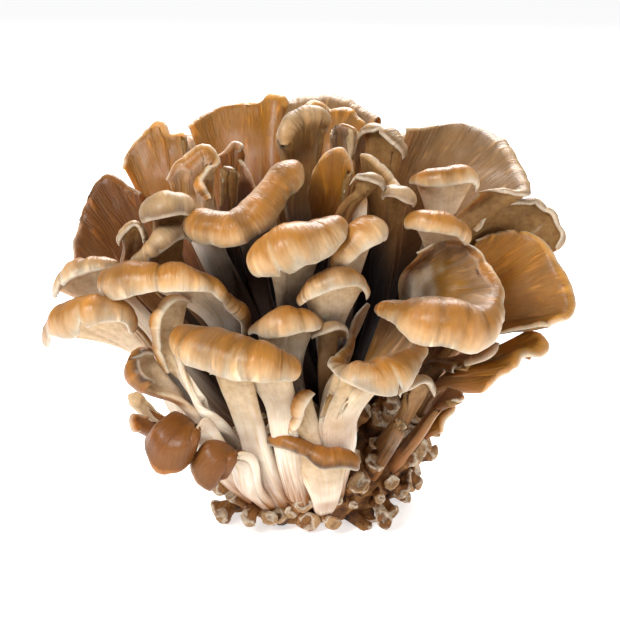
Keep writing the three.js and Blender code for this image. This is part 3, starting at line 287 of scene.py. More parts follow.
    (10, 64, 110, 4), (-7, 64, 110, 4), (-22, 58, 106, 3)]),
    ("left_side_cap", "golden", (175, 12), 5.5, 2.2, 160, (-47, 6, 48), [(-36, 2, 31)], [(-43, 25, 55, 3.5),
    (-55, 17, 60, 4.6), (-60, 3, 60, 4.8), (-54, -9, 56, 3.5)]),
]

# Wide open fronds: light reaches into them.
OPEN_TO_LIGHT = {"front_right_funnel", "right_round_cap", "right_great_fan", "right_top_cap",
                 "left_drooping_cap"}


def named(row):
    """A frond's row as named values, with its roll written into each point of its rim."""
    frond = dict(zip(FIELDS, row))
    rolls = np.broadcast_to(frond["roll"], len(frond["rim"])).tolist()
    frond["rim"] = [(*point, roll) for point, roll in zip(frond["rim"], rolls)]
    frond["leaf"] = max(rolls) <= LEAF_ROLL
    return frond


# ---- Seeded noise ----
LATTICE_SIZE = 8192
LATTICE = np.random.default_rng(11).random(LATTICE_SIZE) * 2 - 1
SCATTER = np.array([73856093, 19349663, 83492791])  # primes that scatter the cells over the lattice


def noise(points, size, seed=0.0):
    """Smooth noise from -1 to 1 at rows of points; `size` is the width of one bump."""
    spot = np.asarray(points, float) / size + seed * 7.31
    cell = np.floor(spot).astype(np.int64)
    part = spot - cell
    part = part * part * (3 - 2 * part)
    total = 0.0
    for corner in range(8):
        step = np.array([corner & 1, corner >> 1 & 1, corner >> 2 & 1])
        key = ((cell + step) * SCATTER).sum(axis=-1) & (LATTICE_SIZE - 1)
        total = total + LATTICE[key] * np.prod(np.where(step, part, 1 - part), axis=-1)
    return total


def wave(distance, size, seed=0.0):
    """The same noise along one line of distances."""
    line = np.zeros(np.shape(distance) + (3,))
    line[..., 0] = distance
    line[..., 1] = seed * 3.7
    return noise(line, size, seed)


def bumps(kind, where, seed):
    """One kind of irregular growth, at points or at distances along a line."""
    strength, size = kind
    return strength * (noise if np.ndim(where) > 1 else wave)(where, size, seed)


# ---- Growth rule ----
def unit(vectors):
    vectors = np.asarray(vectors, float)
    return vectors / np.maximum(np.linalg.norm(vectors, axis=-1, keepdims=True), 1e-9)


def smooth(x):
    x = np.clip(x, 0, 1)
    return x * x * (3 - 2 * x)


def grows(x, span):
    """From 0 to 1 as x passes a span, which is where it starts and how long it is."""
    start, length = span
    return smooth((x - start) / length)


def along(rows, t):
    """A uniform Catmull-Rom curve through rows of numbers, read at t from 0 to 1."""
    rows = np.asarray(rows, float)
    padded = np.vstack([2 * rows[0] - rows[1], rows, 2 * rows[-1] - rows[-2]])
    s = np.clip(t, 0, 1) * (len(rows) - 1)
    i = np.minimum(s.astype(int), len(rows) - 2)
    f = (s - i)[:, None]
    a, b, c, d = padded[i], padded[i + 1], padded[i + 2], padded[i + 3]
    bend = (2 * a - 5 * b + 4 * c - d) * f**2
    twist = (3 * b - a - 3 * c + d) * f**3
    return 0.5 * (2 * b + (c - a) * f + bend + twist)


def foot_on_base(degrees, height):
    """A point on the base's surface and the direction out of it."""
    upper = next(i for i, level in enumerate(BASE_LEVELS) if level[0] >= height and i > 0)
    low, high = np.array(BASE_LEVELS[upper - 1], float), np.array(BASE_LEVELS[upper], float)
    _, x, y, radius_x, radius_y = low + (high - low) * (height - low[0]) / (high[0] - low[0])
    w = math.radians(degrees)
    slope = (high[3] - low[3]) / (high[0] - low[0])
    foot = np.array([x + radius_x * math.cos(w), y + radius_y * math.sin(w), height])
    return foot, unit([math.cos(w), math.sin(w), -slope])


def length_of(points):
    return np.concatenate([[0], np.cumsum(np.linalg.norm(np.diff(points, axis=0), axis=-1))])


def lines(length, spacing):
    """How many lines of the mesh a length gets."""
    step, fewest, most = spacing
    return int(np.clip(length / step, fewest, most))


def blade(frond, seed):
    """The frond's middle surface, rib by rib, with its half thickness and the places along and across it."""
    foot, out = foot_on_base(*frond["foot"])
    top = np.array(frond["top"], float)
    spine = [foot - out * BURY, *frond["via"], top]
    samples = np.linspace(0, 1, LENGTH_SAMPLES)
    rim_length = length_of(along(frond["rim"], samples)[:, :3])[-1]
    spine_length = length_of(along(spine, samples))[-1]
    _, _, _, widest, furthest = np.max(frond["rim"], axis=0)
    ribs = lines(rim_length, RIBS)
    rings = lines(spine_length, RINGS)
    turns = lines(widest * math.radians(furthest), TURNS)

    theta = np.linspace(-math.pi / 2, math.pi / 2, ribs + 1)
    u = np.sin(theta)
    t = EVEN_SHARE * (theta / math.pi + 0.5) + (1 - EVEN_SHARE) * (u / 2 + 0.5)
    rim = along(frond["rim"], t)
    crest, radius, roll = rim[:, :3], np.maximum(rim[:, 3], LEAST_ROLL), np.radians(rim[:, 4])
    ahead, behind = along(frond["rim"], t + TANGENT_STEP), along(frond["rim"], t - TANGENT_STEP)
    tangent = unit(ahead[:, :3] - behind[:, :3])
    across = length_of(crest)
    ends = 1 - np.abs(u) ** CALM_ENDS

    end = along(spine, np.array([1 - AIM_STEP, 1 - SPEED_STEP, 1.0]))
    speed = np.linalg.norm(end[2] - end[1]) / SPEED_STEP
    heading = unit(end[2] - end[0])
    flare = frond["flare"]

    def arrival(crest, radius):
        """Where the blade meets the rolled edge, and its directions onward and downward there."""
        inner = crest.copy()
        for _ in range(SETTLE_STEPS):
            direction = unit(heading * speed + flare * (inner - top))
            under = unit(np.cross(tangent, direction))
            direction = unit(np.cross(under, tangent))
            inner = crest - radius[:, None] * under
        return inner, direction, under

    _, direction, under = arrival(crest, radius)
    ruffle = min(RUFFLE_SHARE * rim_length, MOST_RUFFLE) * (1.0 if frond["leaf"] else CAP_RUFFLE)
    crest = crest + under * (ruffle * ends * bumps(RIM_OUT, across, seed))[:, None]
    crest = crest + direction * (ruffle * ends * bumps(RIM_ON, across, seed + 1))[:, None]
    radius = radius * (1 + bumps(ROLL_RADIUS, across, seed + 2) * ends)
    roll = roll * (1 + bumps(ROLL_TURN, across, seed + 3) * ends)
    inner, direction, under = arrival(crest, radius)

    v = np.linspace(0, 1, rings + 1)
    opening = v**flare
    spread = tangent[ribs // 2] - np.dot(tangent[ribs // 2], out) * out
    stem = frond["stem"]
    fan = along(spine, v) + opening[:, None] * (inner - top)[:, None, :]
    fan = fan + ((1 - opening) * stem)[:, None] * (u[:, None, None] * unit(spread))

    # The rolled edge; its margin runs in and out, and is nicked here and there.
    reach = 1 - ends * (WANDER[0] + bumps(WANDER, across, seed + 4))
    nicks = grows(wave(across, NICK_SIZE, seed + 5), (NICK_FROM, NICK_FADE))
    reach = reach - NICK_DEPTH * ends * nicks
    a = 1 - (1 - np.linspace(0, 1, turns + 1)[1:]) ** TURN_EASE
    turn = (roll * reach)[:, None] * a
    bend = radius[:, None] * (1 - TIGHTENING * a)
    curl = crest[:, None, :] - (bend * np.cos(turn))[..., None] * under[:, None, :]
    curl = curl + (bend * np.sin(turn))[..., None] * direction[:, None, :]
    points = np.concatenate([fan, curl], axis=1)
    place = np.concatenate([v, 1 + a])

    # Thickness: a round stem, a thin blade, a rounded margin.
    flat = smooth(place / STEM_END)
    half = np.where(place <= 1, stem + (SHEET - stem) * flat, SHEET + (MARGIN - SHEET) * (place - 1))
    power = ROUND + (SLAB - ROUND) * flat
    half = half * np.sqrt(np.maximum(1 - np.abs(u)[:, None] ** power, 0))
    left = (radius * roll * reach)[:, None] * (2 - place)
    near = np.clip(1 - left / MARGIN, 0, 1) * (place > 1)
    half = half * np.sqrt(1 - near**2)
    half[:, -1] = 0
    half = half * (1 + bumps(THICKNESS, points, seed + 6))
    steps = np.linalg.norm(np.diff(points, axis=1), axis=-1)
    onward = np.cumsum(np.concatenate([np.zeros((ribs + 1, 1)), steps], axis=1), axis=1)
    grain = np.stack([np.repeat(across[:, None], len(place), 1), onward], axis=-1)
    return points, half, place, np.where(place > 1, left, np.inf), grain, ends


def normals_of(points):
    return unit(np.cross(np.gradient(points, axis=0), np.gradient(points, axis=1)))


def quads_of(grid, side, flip=False):
    """The quads between two neighbouring grids of vertex numbers."""
    corners = [grid[:-1], side[:-1], side[1:], grid[1:]]
    return np.stack(corners[::-1] if flip else corners, axis=-1).reshape(-1, 4)


def frond_surface(frond, seed):
    """Vertices, faces and the vertex values that the flesh materials read."""
    points, half, place, left, grain, ends = blade(frond, seed)
    opened = grows(place, SWAYS)
    free = ends[:, None] * 0.7 + 0.3  # the two sides of a frond stay calmer than its middle

    def stretched(across, onward):
        """Places on the sheet, drawn out from the foot to the margin."""
        return np.stack([grain[..., 0] * across, grain[..., 1] / onward, np.zeros_like(half)], axis=-1)

    # Soft dents and folds bend the whole sheet; fine pleats run square to the margin.
    sway = bumps(DENT, points, seed) + bumps(DIMPLE, points, seed + 1)
    folds = FOLD_LIFT - np.abs(bumps(FOLD, stretched(1, 3), seed + 7))
    folds = (folds + bumps(CREASE, stretched(1, 3), seed + 2)) * grows(place, FOLDS_FROM)
    points = points + normals_of(points) * ((sway + folds) * opened * free)[..., None]
    normal = normals_of(points)
    wrinkled = grows(place, WRINKLES_FROM) * (0.4 + 0.6 * smooth(0.5 + noise(points, 11, seed + 8)))
    pleats = bumps(PLEAT, stretched(1, 6), seed + 9) * wrinkled + bumps(PITTING, points, seed + 3)
    fibres = bumps(FIBRE, stretched(2, 10), seed)
    solid = np.minimum(half / FULL_RELIEF, 1)
    upper = points - normal * (half + pleats * solid)[..., None]
    lower = points + normal * (half + fibres * solid)[..., None]

    # Two skins that share the vertices of the frond's sides and margin, closed at the root.
    ribs, rings = half.shape
    index = np.arange(ribs * rings).reshape(ribs, rings)
    shared = np.zeros_like(index, bool)
    shared[0], shared[-1], shared[:, -1] = True, True, True
    twin = np.where(shared, index, index + ribs * rings)
    quads = [quads_of(index[:, :-1], index[:, 1:]), quads_of(twin[:, :-1], twin[:, 1:], flip=True)]
    root = np.stack([index[:-1, 0], index[1:, 0], twin[1:, 0], twin[:-1, 0]], axis=-1)
    faces = [list(dict.fromkeys(q)) for q in np.concatenate([*quads, root]).tolist()]
    faces = [q for q in faces if len(q) > 2]

    def both(on_upper, on_lower):
        return np.concatenate([np.broadcast_to(on_upper, half.shape).ravel(),
                               np.broadcast_to(on_lower, half.shape).ravel()])

    start = grows(place + bumps(SKIN_BLUR, points, seed + 5), LEAF_SKIN if frond["leaf"] else CAP_SKIN)
    values = {
        "skin": both(np.where(shared, SIDE_SKIN, 1.0) * start, 0.0),
        "reach": both(place, place),
        "lip": both(smooth(1 - left / LIP), 0.0),
        "relief": both(0.5 - 0.7 * folds * opened - 0.8 * pleats, 0.5),
    }
    threads = [both(grain[..., 0], grain[..., 0]), both(grain[..., 1], grain[..., 1]),
               both(seed * 40.0, seed * 40.0)]
    vertices = np.concatenate([upper.reshape(-1, 3), lower.reshape(-1, 3)])
    return vertices, faces, values, np.stack(threads, axis=-1)


def put(name, data):
    """An object in the scene that holds the data."""
    made = bpy.data.objects.new(name, data)
    bpy.context.scene.collection.objects.link(made)
    return made


def make_mesh(name, vertices, faces, values, material, grain=None, shade=1.0):
    """A finished piece in metres; unused vertices are dropped."""
    used = np.unique(np.concatenate([np.array(face) for face in faces]))
    renumber = np.zeros(len(vertices), int)
    renumber[used] = np.arange(len(used))
    mesh = bpy.data.meshes.new(name)
    kept = [[int(renumber[i]) for i in face] for face in faces]
    mesh.from_pydata((vertices[used] * MM).tolist(), [], kept)
    # How deep a point lies in the head: the materials paint the flesh darker there as shade.
    inward = 1 - np.linalg.norm((vertices[used] - HEART) / HEART_SIZE, axis=-1)
    values = {key: value[used] for key, value in values.items()}
    values["depth"] = shade * smooth(inward / HEART_FADE)
    for key, value in values.items():
        made = mesh.attributes.new(key, "FLOAT", "POINT")
        made.data.foreach_set("value", value.astype(np.float32))
    if grain is not None:
        made = mesh.attributes.new("grain", "FLOAT_VECTOR", "POINT")
        made.data.foreach_set("vector", grain[used].astype(np.float32).ravel())
    mesh.shade_smooth()
    mesh.materials.append(material)
    return put(name, mesh)


# ---- Materials ----
def colour(code):
    """An sRGB hex value as linear red, green, blue and alpha."""
    parts = [int(code[i:i + 2], 16) / 255 for i in (1, 3, 5)]
    return (*[c / 12.92 if c <= 0.04045 else ((c + 0.055) / 1.055) ** 2.4 for c in parts], 1.0)


def add(tree, kind, inputs=None, stops=None, **settings):
    """A node with its settings, the stops of its ramp and its inputs: values, sockets or whole nodes."""
    made = tree.nodes.new(kind)
    for key, value in settings.items():
        setattr(made, key, value)
    for socket, value in (inputs or {}).items():
        if isinstance(value, bpy.types.Node):
            value = next(output for output in value.outputs if output.enabled)
        if isinstance(value, bpy.types.NodeSocket):
            tree.links.new(value, made.inputs[socket])
        else:
            made.inputs[socket].default_value = value
    for place, (position, code) in enumerate(stops or []):
        element = made.color_ramp.elements[place] if place < 2 else made.color_ramp.elements.new(position)
        element.position = position
        element.color = colour(code) if isinstance(code, str) else (code, code, code, 1)
    return made


def empty_material(name):
    """A material without nodes, and the function that adds nodes to it."""
    material = bpy.data.materials.new(name)
    material.use_nodes = True
    material.node_tree.nodes.clear()
    return material, partial(add, material.node_tree)


MATH, MIX, RAMP = "ShaderNodeMath", "ShaderNodeMix", "ShaderNodeValToRGB"
NOISE, RANDOM, ATTRIBUTE = "ShaderNodeTexNoise", "FunctionNodeRandomValue", "ShaderNodeAttribute"
FACTOR, FIRST, SECOND = 0, 6, 7  # inputs of a colour Mix node
BLEND = {"data_type": "RGBA"}
TINT = {"data_type": "RGBA", "blend_type": "MULTIPLY"}
SCALED = {"operation": "MULTIPLY_ADD"}
WHITE = (1, 1, 1, 1)


def flesh(name, skin, bloom, under, stem, heart, glow, roughness):
    """Mushroom flesh: satin skin above, dull pore side below, fibrous stem; `skin` runs stem to margin."""
    material, node = empty_material(name)
    skinned, reach, folds, depth, lip = [
        node(ATTRIBUTE, attribute_name=key).outputs["Fac"]
        for key in ("skin", "reach", "relief", "depth", "lip")]
    grain = node(ATTRIBUTE, attribute_name="grain").outputs["Vector"]
    place = node("ShaderNodeTexCoord").outputs["Object"]

    def threads(across, onward, **noise_inputs):
        """Noise in millimetres of the flesh's own grain, drawn out from the foot to the margin."""
        lie = node("ShaderNodeMapping", {"Vector": grain, "Scale": (across, onward, 1.0)})
        return {"Vector": lie, "Scale": 1.0, **noise_inputs}

    # Radial fibrils of the skin, 0.5 mm wide and 8 mm long, and broad bands.
    fibrils = node(NOISE, threads(1.5, 0.2, Detail=3.0, Roughness=0.6))
    bands = node(NOISE, threads(0.42, 0.06, Detail=2.0))
    # Wrinkles 2 mm apart.
    wrinkles = node(NOISE, threads(0.42, 0.1, Detail=5.0, Roughness=0.62, Distortion=0.6),
                   noise_type="RIDGED_MULTIFRACTAL", normalize=True)
    # Blotches 12 mm across, and mottling of 2 mm.
    blotch = node(NOISE, {"Vector": place, "Scale": 80.0, "Detail": 2.0, "Roughness": 0.5})
    mottle = node(NOISE, {"Vector": place, "Scale": 480.0, "Detail": 3.0, "Roughness": 0.6})

    # Colour of the skin from the stem to the margin, shifted by the bands so that no edge is ruled.
    shift = node(MATH, {0: bands, 1: 0.22, 2: -0.11}, **SCALED)
    run = node(MATH, {0: reach, 1: 0.5, 2: shift}, **SCALED)
    ramp = node(RAMP, {"Fac": run}, skin)
    streak = node(RAMP, {"Fac": fibrils}, [(0.3, 0.84), (0.66, 1.1)])
    top = node(MIX, {FACTOR: 0.45, FIRST: ramp, SECOND: streak}, **TINT)
    patch = node(RAMP, {"Fac": blotch}, [(0.5, 0.0), (0.74, 0.36)])
    top = node(MIX, {FACTOR: patch, FIRST: top, SECOND: colour(bloom)}, **BLEND)
    speck = node(RAMP, {"Fac": mottle}, [(0.3, 0.86), (0.62, 1.04)])
    top = node(MIX, {FACTOR: 0.6, FIRST: top, SECOND: speck}, **TINT)

    # Painted shade and highlight: creases and wrinkle troughs are painted darker, ridges and wrinkle crests
    # paler.
    shade_and_tone = node(RAMP, {"Fac": folds}, [(0.2, 0.68), (0.5, 0.97), (0.85, 1.22)])
    top = node(MIX, {FACTOR: 0.85, FIRST: top, SECOND: shade_and_tone}, **TINT)
    crease = node(RAMP, {"Fac": wrinkles}, [(0.12, 0.58), (0.38, 1.04), (0.85, 1.45)])
    bent = node(RAMP, {"Fac": run},
               [(0.3, 0.15), (0.5, 0.9), (0.6, 0.4), (0.85, 0.4), (0.97, 0.9)])
    top = node(MIX, {FACTOR: bent, FIRST: top, SECOND: crease}, **TINT)

    # The dry margin is pale.
    lipped = node(MATH, {0: lip, 1: 0.55}, operation="MULTIPLY")
    top = node(MIX, {FACTOR: lipped, FIRST: top, SECOND: colour("#EAD8BE")}, **BLEND)

    # The pale side: a stem with long fibres that turns into the pore layer.
    strand = node(NOISE, threads(0.9, 0.05, Detail=4.0, Roughness=0.6))
    stem_ramp = node(RAMP, {"Fac": strand}, stem)
    bruise = node(RAMP, {"Fac": blotch}, [(0.5, 0.0), (0.72, 0.65)])
    # The foot of a stem is painted brown: partly a stain from the base, partly painted shade in the hollow
    # around the base.
    foot = node("ShaderNodeMapRange",
               {"Value": run, "From Min": 0.03, "From Max": 0.2, "To Min": 1.0, "To Max": 0.0})
    bruised_stained_and_shaded = node(MATH, {0: bruise, 1: foot}, operation="MAXIMUM")
    below = node(MIX, {FACTOR: bruised_stained_and_shaded, FIRST: stem_ramp, SECOND: colour("#9A6230")}, **BLEND)
    under_ramp = node(RAMP, {"Fac": mottle}, under)
    grown = node("ShaderNodeMapRange", {"Value": reach, "From Min": 0.45, "From Max": 0.95})
    below = node(MIX, {FACTOR: grown, FIRST: below, SECOND: under_ramp}, **BLEND)
    sided = node(MIX, {FACTOR: skinned, FIRST: below, SECOND: top}, **BLEND)

    # Deep in the head, between the stems, the flesh is painted dark brown: painted shade where little light
    # gets in.
    hidden = node(MIX, {FACTOR: depth, FIRST: WHITE, SECOND: colour(heart)}, **BLEND)
    shaded = node(MIX, {FACTOR: 1.0, FIRST: sided, SECOND: hidden}, **TINT)

    # Relief: fibrils above, pores of 0.4 mm below.
    pores = node("ShaderNodeTexVoronoi", {"Vector": place, "Scale": 1900.0})
    pitted = node(MATH, {0: pores, 1: 0.25}, operation="MULTIPLY")
    folded = node(MATH, {0: wrinkles, 1: 1.6, 2: fibrils}, **SCALED)
    relief = node(MIX, {0: skinned, 2: pitted, 3: folded}, data_type="FLOAT")
    bump = node("ShaderNodeBump", {"Strength": 0.8, "Distance": 0.0005, "Height": relief})
    gloss = node("ShaderNodeMapRange", {"Value": skinned, "To Min": 0.7, "To Max": roughness})
    uneven = node(MATH, {0: mottle, 1: 0.16, 2: gloss}, **SCALED)
    surface = node("ShaderNodeBsdfPrincipled", {
        "Base Color": shaded, "Roughness": uneven, "Normal": bump,
        "IOR": 1.4, "Subsurface Weight": glow, "Subsurface Radius": (1.0, 0.45, 0.2),
        "Subsurface Scale": 0.004,
        "Sheen Weight": 0.05, "Sheen Roughness": 0.4, "Sheen Tint": colour("#F2E0DA"),
        "Coat Weight": 0.16, "Coat Roughness": 0.24, "Coat IOR": 1.4,
    })
    node("ShaderNodeOutputMaterial", {"Surface": surface})
    return material


# The pore side and the stem below the skin: pale, and a copy painted dark brown as shade for fronds whose
# undersides lie in shadow.
PALE = ([(0.3, "#B8966C"), (0.65, "#D2B68E")],
        [(0.25, "#D8B07C"), (0.4, "#F0DCC0"), (0.65, "#FAF2E6")])
# Painted shade: the pale side darkened for undersides that lie in shadow.
SHADED_UNDERSIDE = ([(0.3, "#7A5228"), (0.65, "#94703F")],
         [(0.25, "#583212"), (0.42, "#7C5024"), (0.62, "#9A703E")])
MATERIALS = {
    # Grown skin of a lit cap: golden tan, satin; a pale band on the bend is painted highlight, paler again
    # at the dry margin.
    "golden": flesh(
        "golden maitake flesh",
        [(0.1, "#4E2C0C"), (0.18, "#A4681C"), (0.4, "#BC8430"), (0.48, "#CCA074"), (0.54, "#DAB492"),
         (0.63, "#AC7230"), (0.78, "#B27830"), (0.9, "#DAB280"), (1.0, "#F2E0C2")],
        "#C8A482", *PALE, "#321C0C", glow=0.2, roughness=0.3),
    # Thin leaves that light shines through: amber, darker at the foot.
    "amber": flesh(
        "thin amber maitake flesh",
        [(0.1, "#3C1E04"), (0.26, "#824608"), (0.44, "#B67418"), (0.7, "#CC9440"), (0.9, "#C09660"),
         (1.0, "#E8D6B8")],
        "#B08A5C", *SHADED_UNDERSIDE, "#2E1808", glow=0.4, roughness=0.34),
    # Leaves in the shade: the same flesh painted browner, as painted shade.
    "umber": flesh(
        "shaded umber maitake flesh",
        [(0.1, "#341A04"), (0.3, "#683806"), (0.5, "#8C5212"), (0.78, "#94622A"), (0.93, "#8A6238"),
         (1.0, "#C8A880")],
        "#8E6840", *SHADED_UNDERSIDE, "#2E1808", glow=0.35, roughness=0.32),
    # Weathered skin: grey brown, duller, with a pinkish bloom.
    "ash": flesh(
        "weathered maitake flesh",
        [(0.1, "#46290C"), (0.36, "#845828"), (0.54, "#B0844E"), (0.8, "#C09C6E"), (0.94, "#96724A"),
         (1.0, "#DCC8AA")],
        "#BAA28A", *SHADED_UNDERSIDE, "#302012", glow=0.15, roughness=0.4),
    # Young low caps: brown and smooth.
    "russet": flesh(
        "young russet maitake flesh",
        [(0.1, "#4E2C0C"), (0.4, "#8A5014"), (0.65, "#A6651C"), (0.85, "#A86E2C"), (0.95, "#5E3A18"),
         (1.0, "#94704C")],
        "#A0703C", *PALE, "#462C18", glow=0.12, roughness=0.32),
}

FIRST_SEED, SEED_STEP = 3.0, 1.7

for count, row in enumerate(FRONDS):
    frond = named(row)
    name = frond["name"]
    shade = OPEN_SHADE if name in OPEN_TO_LIGHT else 1.0
    vertices, faces, values, grain = frond_surface(frond, FIRST_SEED + count * SEED_STEP)
    piece = make_mesh(name + "_grown", vertices, faces, values, MATERIALS[frond["skin"]], grain, shade)
    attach(piece, "root")
    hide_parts(name)


# ---- Base ----
BASE_SIDES = 120
BASE_STEP = 0.7  # spacing of the base's rings
LUMPS = [((1.3, 7), 2), ((0.9, 3.2), 5), ((0.35, 1.4), 8)]  # kinds of lump on the base, and their seeds
LUMPS_FROM = (0.3, 3)  # the height at which the lumps start, and over which they grow


def base_surface():
    """The lumpy trimmed butt: rings of the base's ovals with rounded warts between the sprouts."""
    levels = np.array(BASE_LEVELS, float)
    heights = np.concatenate([[0, 0.01, 0.4], np.arange(1, levels[-1, 0], BASE_STEP), [levels[-1, 0]]])
    w = np.linspace(0, 2 * math.pi, BASE_SIDES, endpoint=False)
    rings = []
    for height in heights:
        x, y, rx, ry = [np.interp(height, levels[:, 0], levels[:, i]) for i in (1, 2, 3, 4)]
        rings.append(np.stack([x + rx * np.cos(w), y + ry * np.sin(w), np.full_like(w, height)], axis=-1))
    points = np.stack(rings)
    away = unit(points - np.array([4, 0, 24]))
    lump = sum(bumps(kind, points, seed) for kind, seed in LUMPS) * grows(points[..., 2], LUMPS_FROM)
    points = points + away * lump[..., None]
    points[..., 2] = np.maximum(points[..., 2], 0)
    index = np.arange(points.size // 3).reshape(points.shape[:2])
    faces = quads_of(index, np.roll(index, -1, axis=1)).tolist()
    faces += [index[0][::-1].tolist(), index[-1].tolist()]
    return points.reshape(-1, 3), faces


def sprout(name, wide, tall, cup, bend):
    """One aborted frond: a short bent club with a hollowed tip, of a few dozen faces."""
    sides = 9
    profile = [(0.95, -0.3), (0.8, 0.15), (0.68, 0.4), (0.74, 0.62), (0.98, 0.8), (1.0, 0.92), (0.8, 1.0),
               (0.5, 1.0 - cup * 0.5)]
    w = np.linspace(0, 2 * math.pi, sides, endpoint=False)
    rows = []
    for radius, height in profile:
        lean = bend * max(height, 0) ** 2
        oval = 1 + 0.25 * np.sin(2 * w + tall)
        rows.append(np.stack([wide * radius * np.cos(w) * oval + lean, wide * radius * np.sin(w),
                              np.full_like(w, tall * height)], axis=-1))
    points = np.concatenate([*rows, [[bend, 0, tall * (1 - cup)]]])
    index = np.arange(len(profile) * sides).reshape(len(profile), sides)
    side = np.roll(index, -1, axis=1)
    tip = [[int(index[-1][k]), int(side[-1][k]), len(points) - 1] for k in range(sides)]
    faces = quads_of(index, side).tolist() + tip + [index[0][::-1].tolist()]
    rise = np.clip(points[:, 2] / tall, 0, 1)
    piece = make_mesh(name, points, faces, {"tone": 0.25 + 0.75 * rise}, BUTT)
    bpy.context.scene.collection.objects.unlink(piece)
    return piece


def butt_material():
    """Trimmed butt of maitake: crumbly, whitish and grey knobs with brown tips and dark pits."""
    material, node = empty_material("crumbly maitake butt")
    place = node("ShaderNodeTexCoord").outputs["Object"]
    height, depth = [node(ATTRIBUTE, attribute_name=key).outputs["Fac"]
                     for key in ("tone", "depth")]
    # Patches of 5 mm and crumbs of 0.7 mm.
    patch = node(NOISE, {"Vector": place, "Scale": 200.0, "Detail": 3.0})
    crumb = node(NOISE, {"Vector": place, "Scale": 1400.0, "Detail": 3.0, "Roughness": 0.7})
    level = node(MATH, {0: patch, 1: 1.6, 2: -0.85}, **SCALED)
    shade_and_tone = node(MATH, {0: height, 1: level}, operation="ADD")
    ramp = node(RAMP, {"Fac": shade_and_tone},
               [(0.1, "#2A180A"), (0.34, "#6E421A"), (0.55, "#A0703C"), (0.72, "#7E5026"),
                      (0.88, "#DCCCB4"), (1.0, "#B48E64")])
    grit = node(RAMP, {"Fac": crumb}, [(0.3, 0.6), (0.65, 1.15)])
    dusty = node(MIX, {FACTOR: 0.8, FIRST: ramp, SECOND: grit}, **TINT)
    # Deep in the head the butt is painted dark brown: painted shade.
    hidden = node(MIX, {FACTOR: depth, FIRST: WHITE, SECOND: colour("#54382A")}, **BLEND)
    shaded = node(MIX, {FACTOR: 1.0, FIRST: dusty, SECOND: hidden}, **TINT)
    bump = node("ShaderNodeBump", {"Strength": 0.5, "Distance": 0.0004, "Height": crumb})
    surface = node("ShaderNodeBsdfPrincipled", {
        "Base Color": shaded, "Roughness": 0.68, "Normal": bump, "IOR": 1.4,
        "Subsurface Weight": 0.15, "Subsurface Radius": (1.0, 0.6, 0.35), "Subsurface Scale": 0.002})
    node("ShaderNodeOutputMaterial", {"Surface": surface})
    return material


BUTT = butt_material()

# Sprouts: half width, height, depth of the hollow tip and bend.
SPROUTS = [(2.5, 5.0, 0.25, 0.8), (1.9, 7.5, 0.2, 2.0), (3.1, 4.2, 0.3, 0.4), (1.9, 6.4, 0.15, -1.8),
           (2.6, 6.0, 0.35, 1.2)]
SPROUTING = {"Spacing": 3.5 * MM, "Lowest": 1.2 * MM, "Highest": 40 * MM, "Smallest": 0.7, "Largest": 1.45,
             "Seed": 5, "Flesh": BUTT}
DENSEST = 60000.0  # sprouts to the square metre, more than the spacing lets through


def sprout_tree():
    """Geometry Nodes: sprouts stand out of the butt, evenly scattered between two heights."""
    tree = bpy.data.node_groups.new("sprouts on the butt", "GeometryNodeTree")
    node = partial(add, tree)
    kinds = {"Butt": "Geometry", "Sprouts": "Collection", "Spacing": "Float", "Lowest": "Float",
             "Highest": "Float", "Smallest": "Float", "Largest": "Float", "Seed": "Int", "Flesh": "Material"}
    for name, kind in kinds.items():
        tree.interface.new_socket(name, in_out="INPUT", socket_type="NodeSocket" + kind)
    tree.interface.new_socket("Grown", in_out="OUTPUT", socket_type="NodeSocketGeometry")
    given = node("NodeGroupInput").outputs
    spot = node("GeometryNodeInputPosition")
    height = node("ShaderNodeSeparateXYZ", {0: spot}).outputs["Z"]
    above = node("FunctionNodeCompare", {0: height, 1: given["Lowest"]}, operation="GREATER_THAN")
    below = node("FunctionNodeCompare", {0: height, 1: given["Highest"]}, operation="LESS_THAN")
    band = node("FunctionNodeBooleanMath", {0: above, 1: below}, operation="AND")
    spots = node("GeometryNodeDistributePointsOnFaces", {
        "Mesh": given["Butt"], "Selection": band, "Distance Min": given["Spacing"],
        "Density Max": DENSEST, "Seed": given["Seed"]}, distribute_method="POISSON")
    store = node("GeometryNodeCollectionInfo", {
        "Collection": given["Sprouts"], "Separate Children": True, "Reset Children": True})
    # Each sprout leans a little off the surface, mostly upward, and turns any way about its own length.
    jitter = node(RANDOM, {
        "Seed": given["Seed"], 0: (-0.5, -0.5, -0.2), 1: (0.5, 0.5, 0.7)}, data_type="FLOAT_VECTOR")
    lean = node("ShaderNodeVectorMath", {0: spots.outputs["Normal"], 1: jitter}, operation="ADD")
    stood = node("FunctionNodeAlignRotationToVector", {"Vector": lean}, axis="Z")
    spin = node(RANDOM, {"Seed": given["Seed"], 2: 0.0, 3: 6.28}, data_type="FLOAT")
    about = node("ShaderNodeCombineXYZ", {2: spin})
    turned = node("FunctionNodeRotateRotation", {"Rotation": stood, "Rotate By": about},
                 rotation_space="LOCAL")
    scale = node(RANDOM, {
        "Seed": given["Seed"], 2: given["Smallest"], 3: given["Largest"]}, data_type="FLOAT")
    stand = node("GeometryNodeInstanceOnPoints", {
        "Points": spots.outputs["Points"], "Instance": store, "Pick Instance": True,
        "Rotation": turned, "Scale": scale})
    real = node("GeometryNodeRealizeInstances", {"Geometry": stand})
    joined = node("GeometryNodeJoinGeometry", {"Geometry": real})
    tree.links.new(given["Butt"], joined.inputs[0])
    coated = node("GeometryNodeSetMaterial", {"Geometry": joined, "Material": given["Flesh"]})
    node("NodeGroupOutput", {0: coated})
    return tree


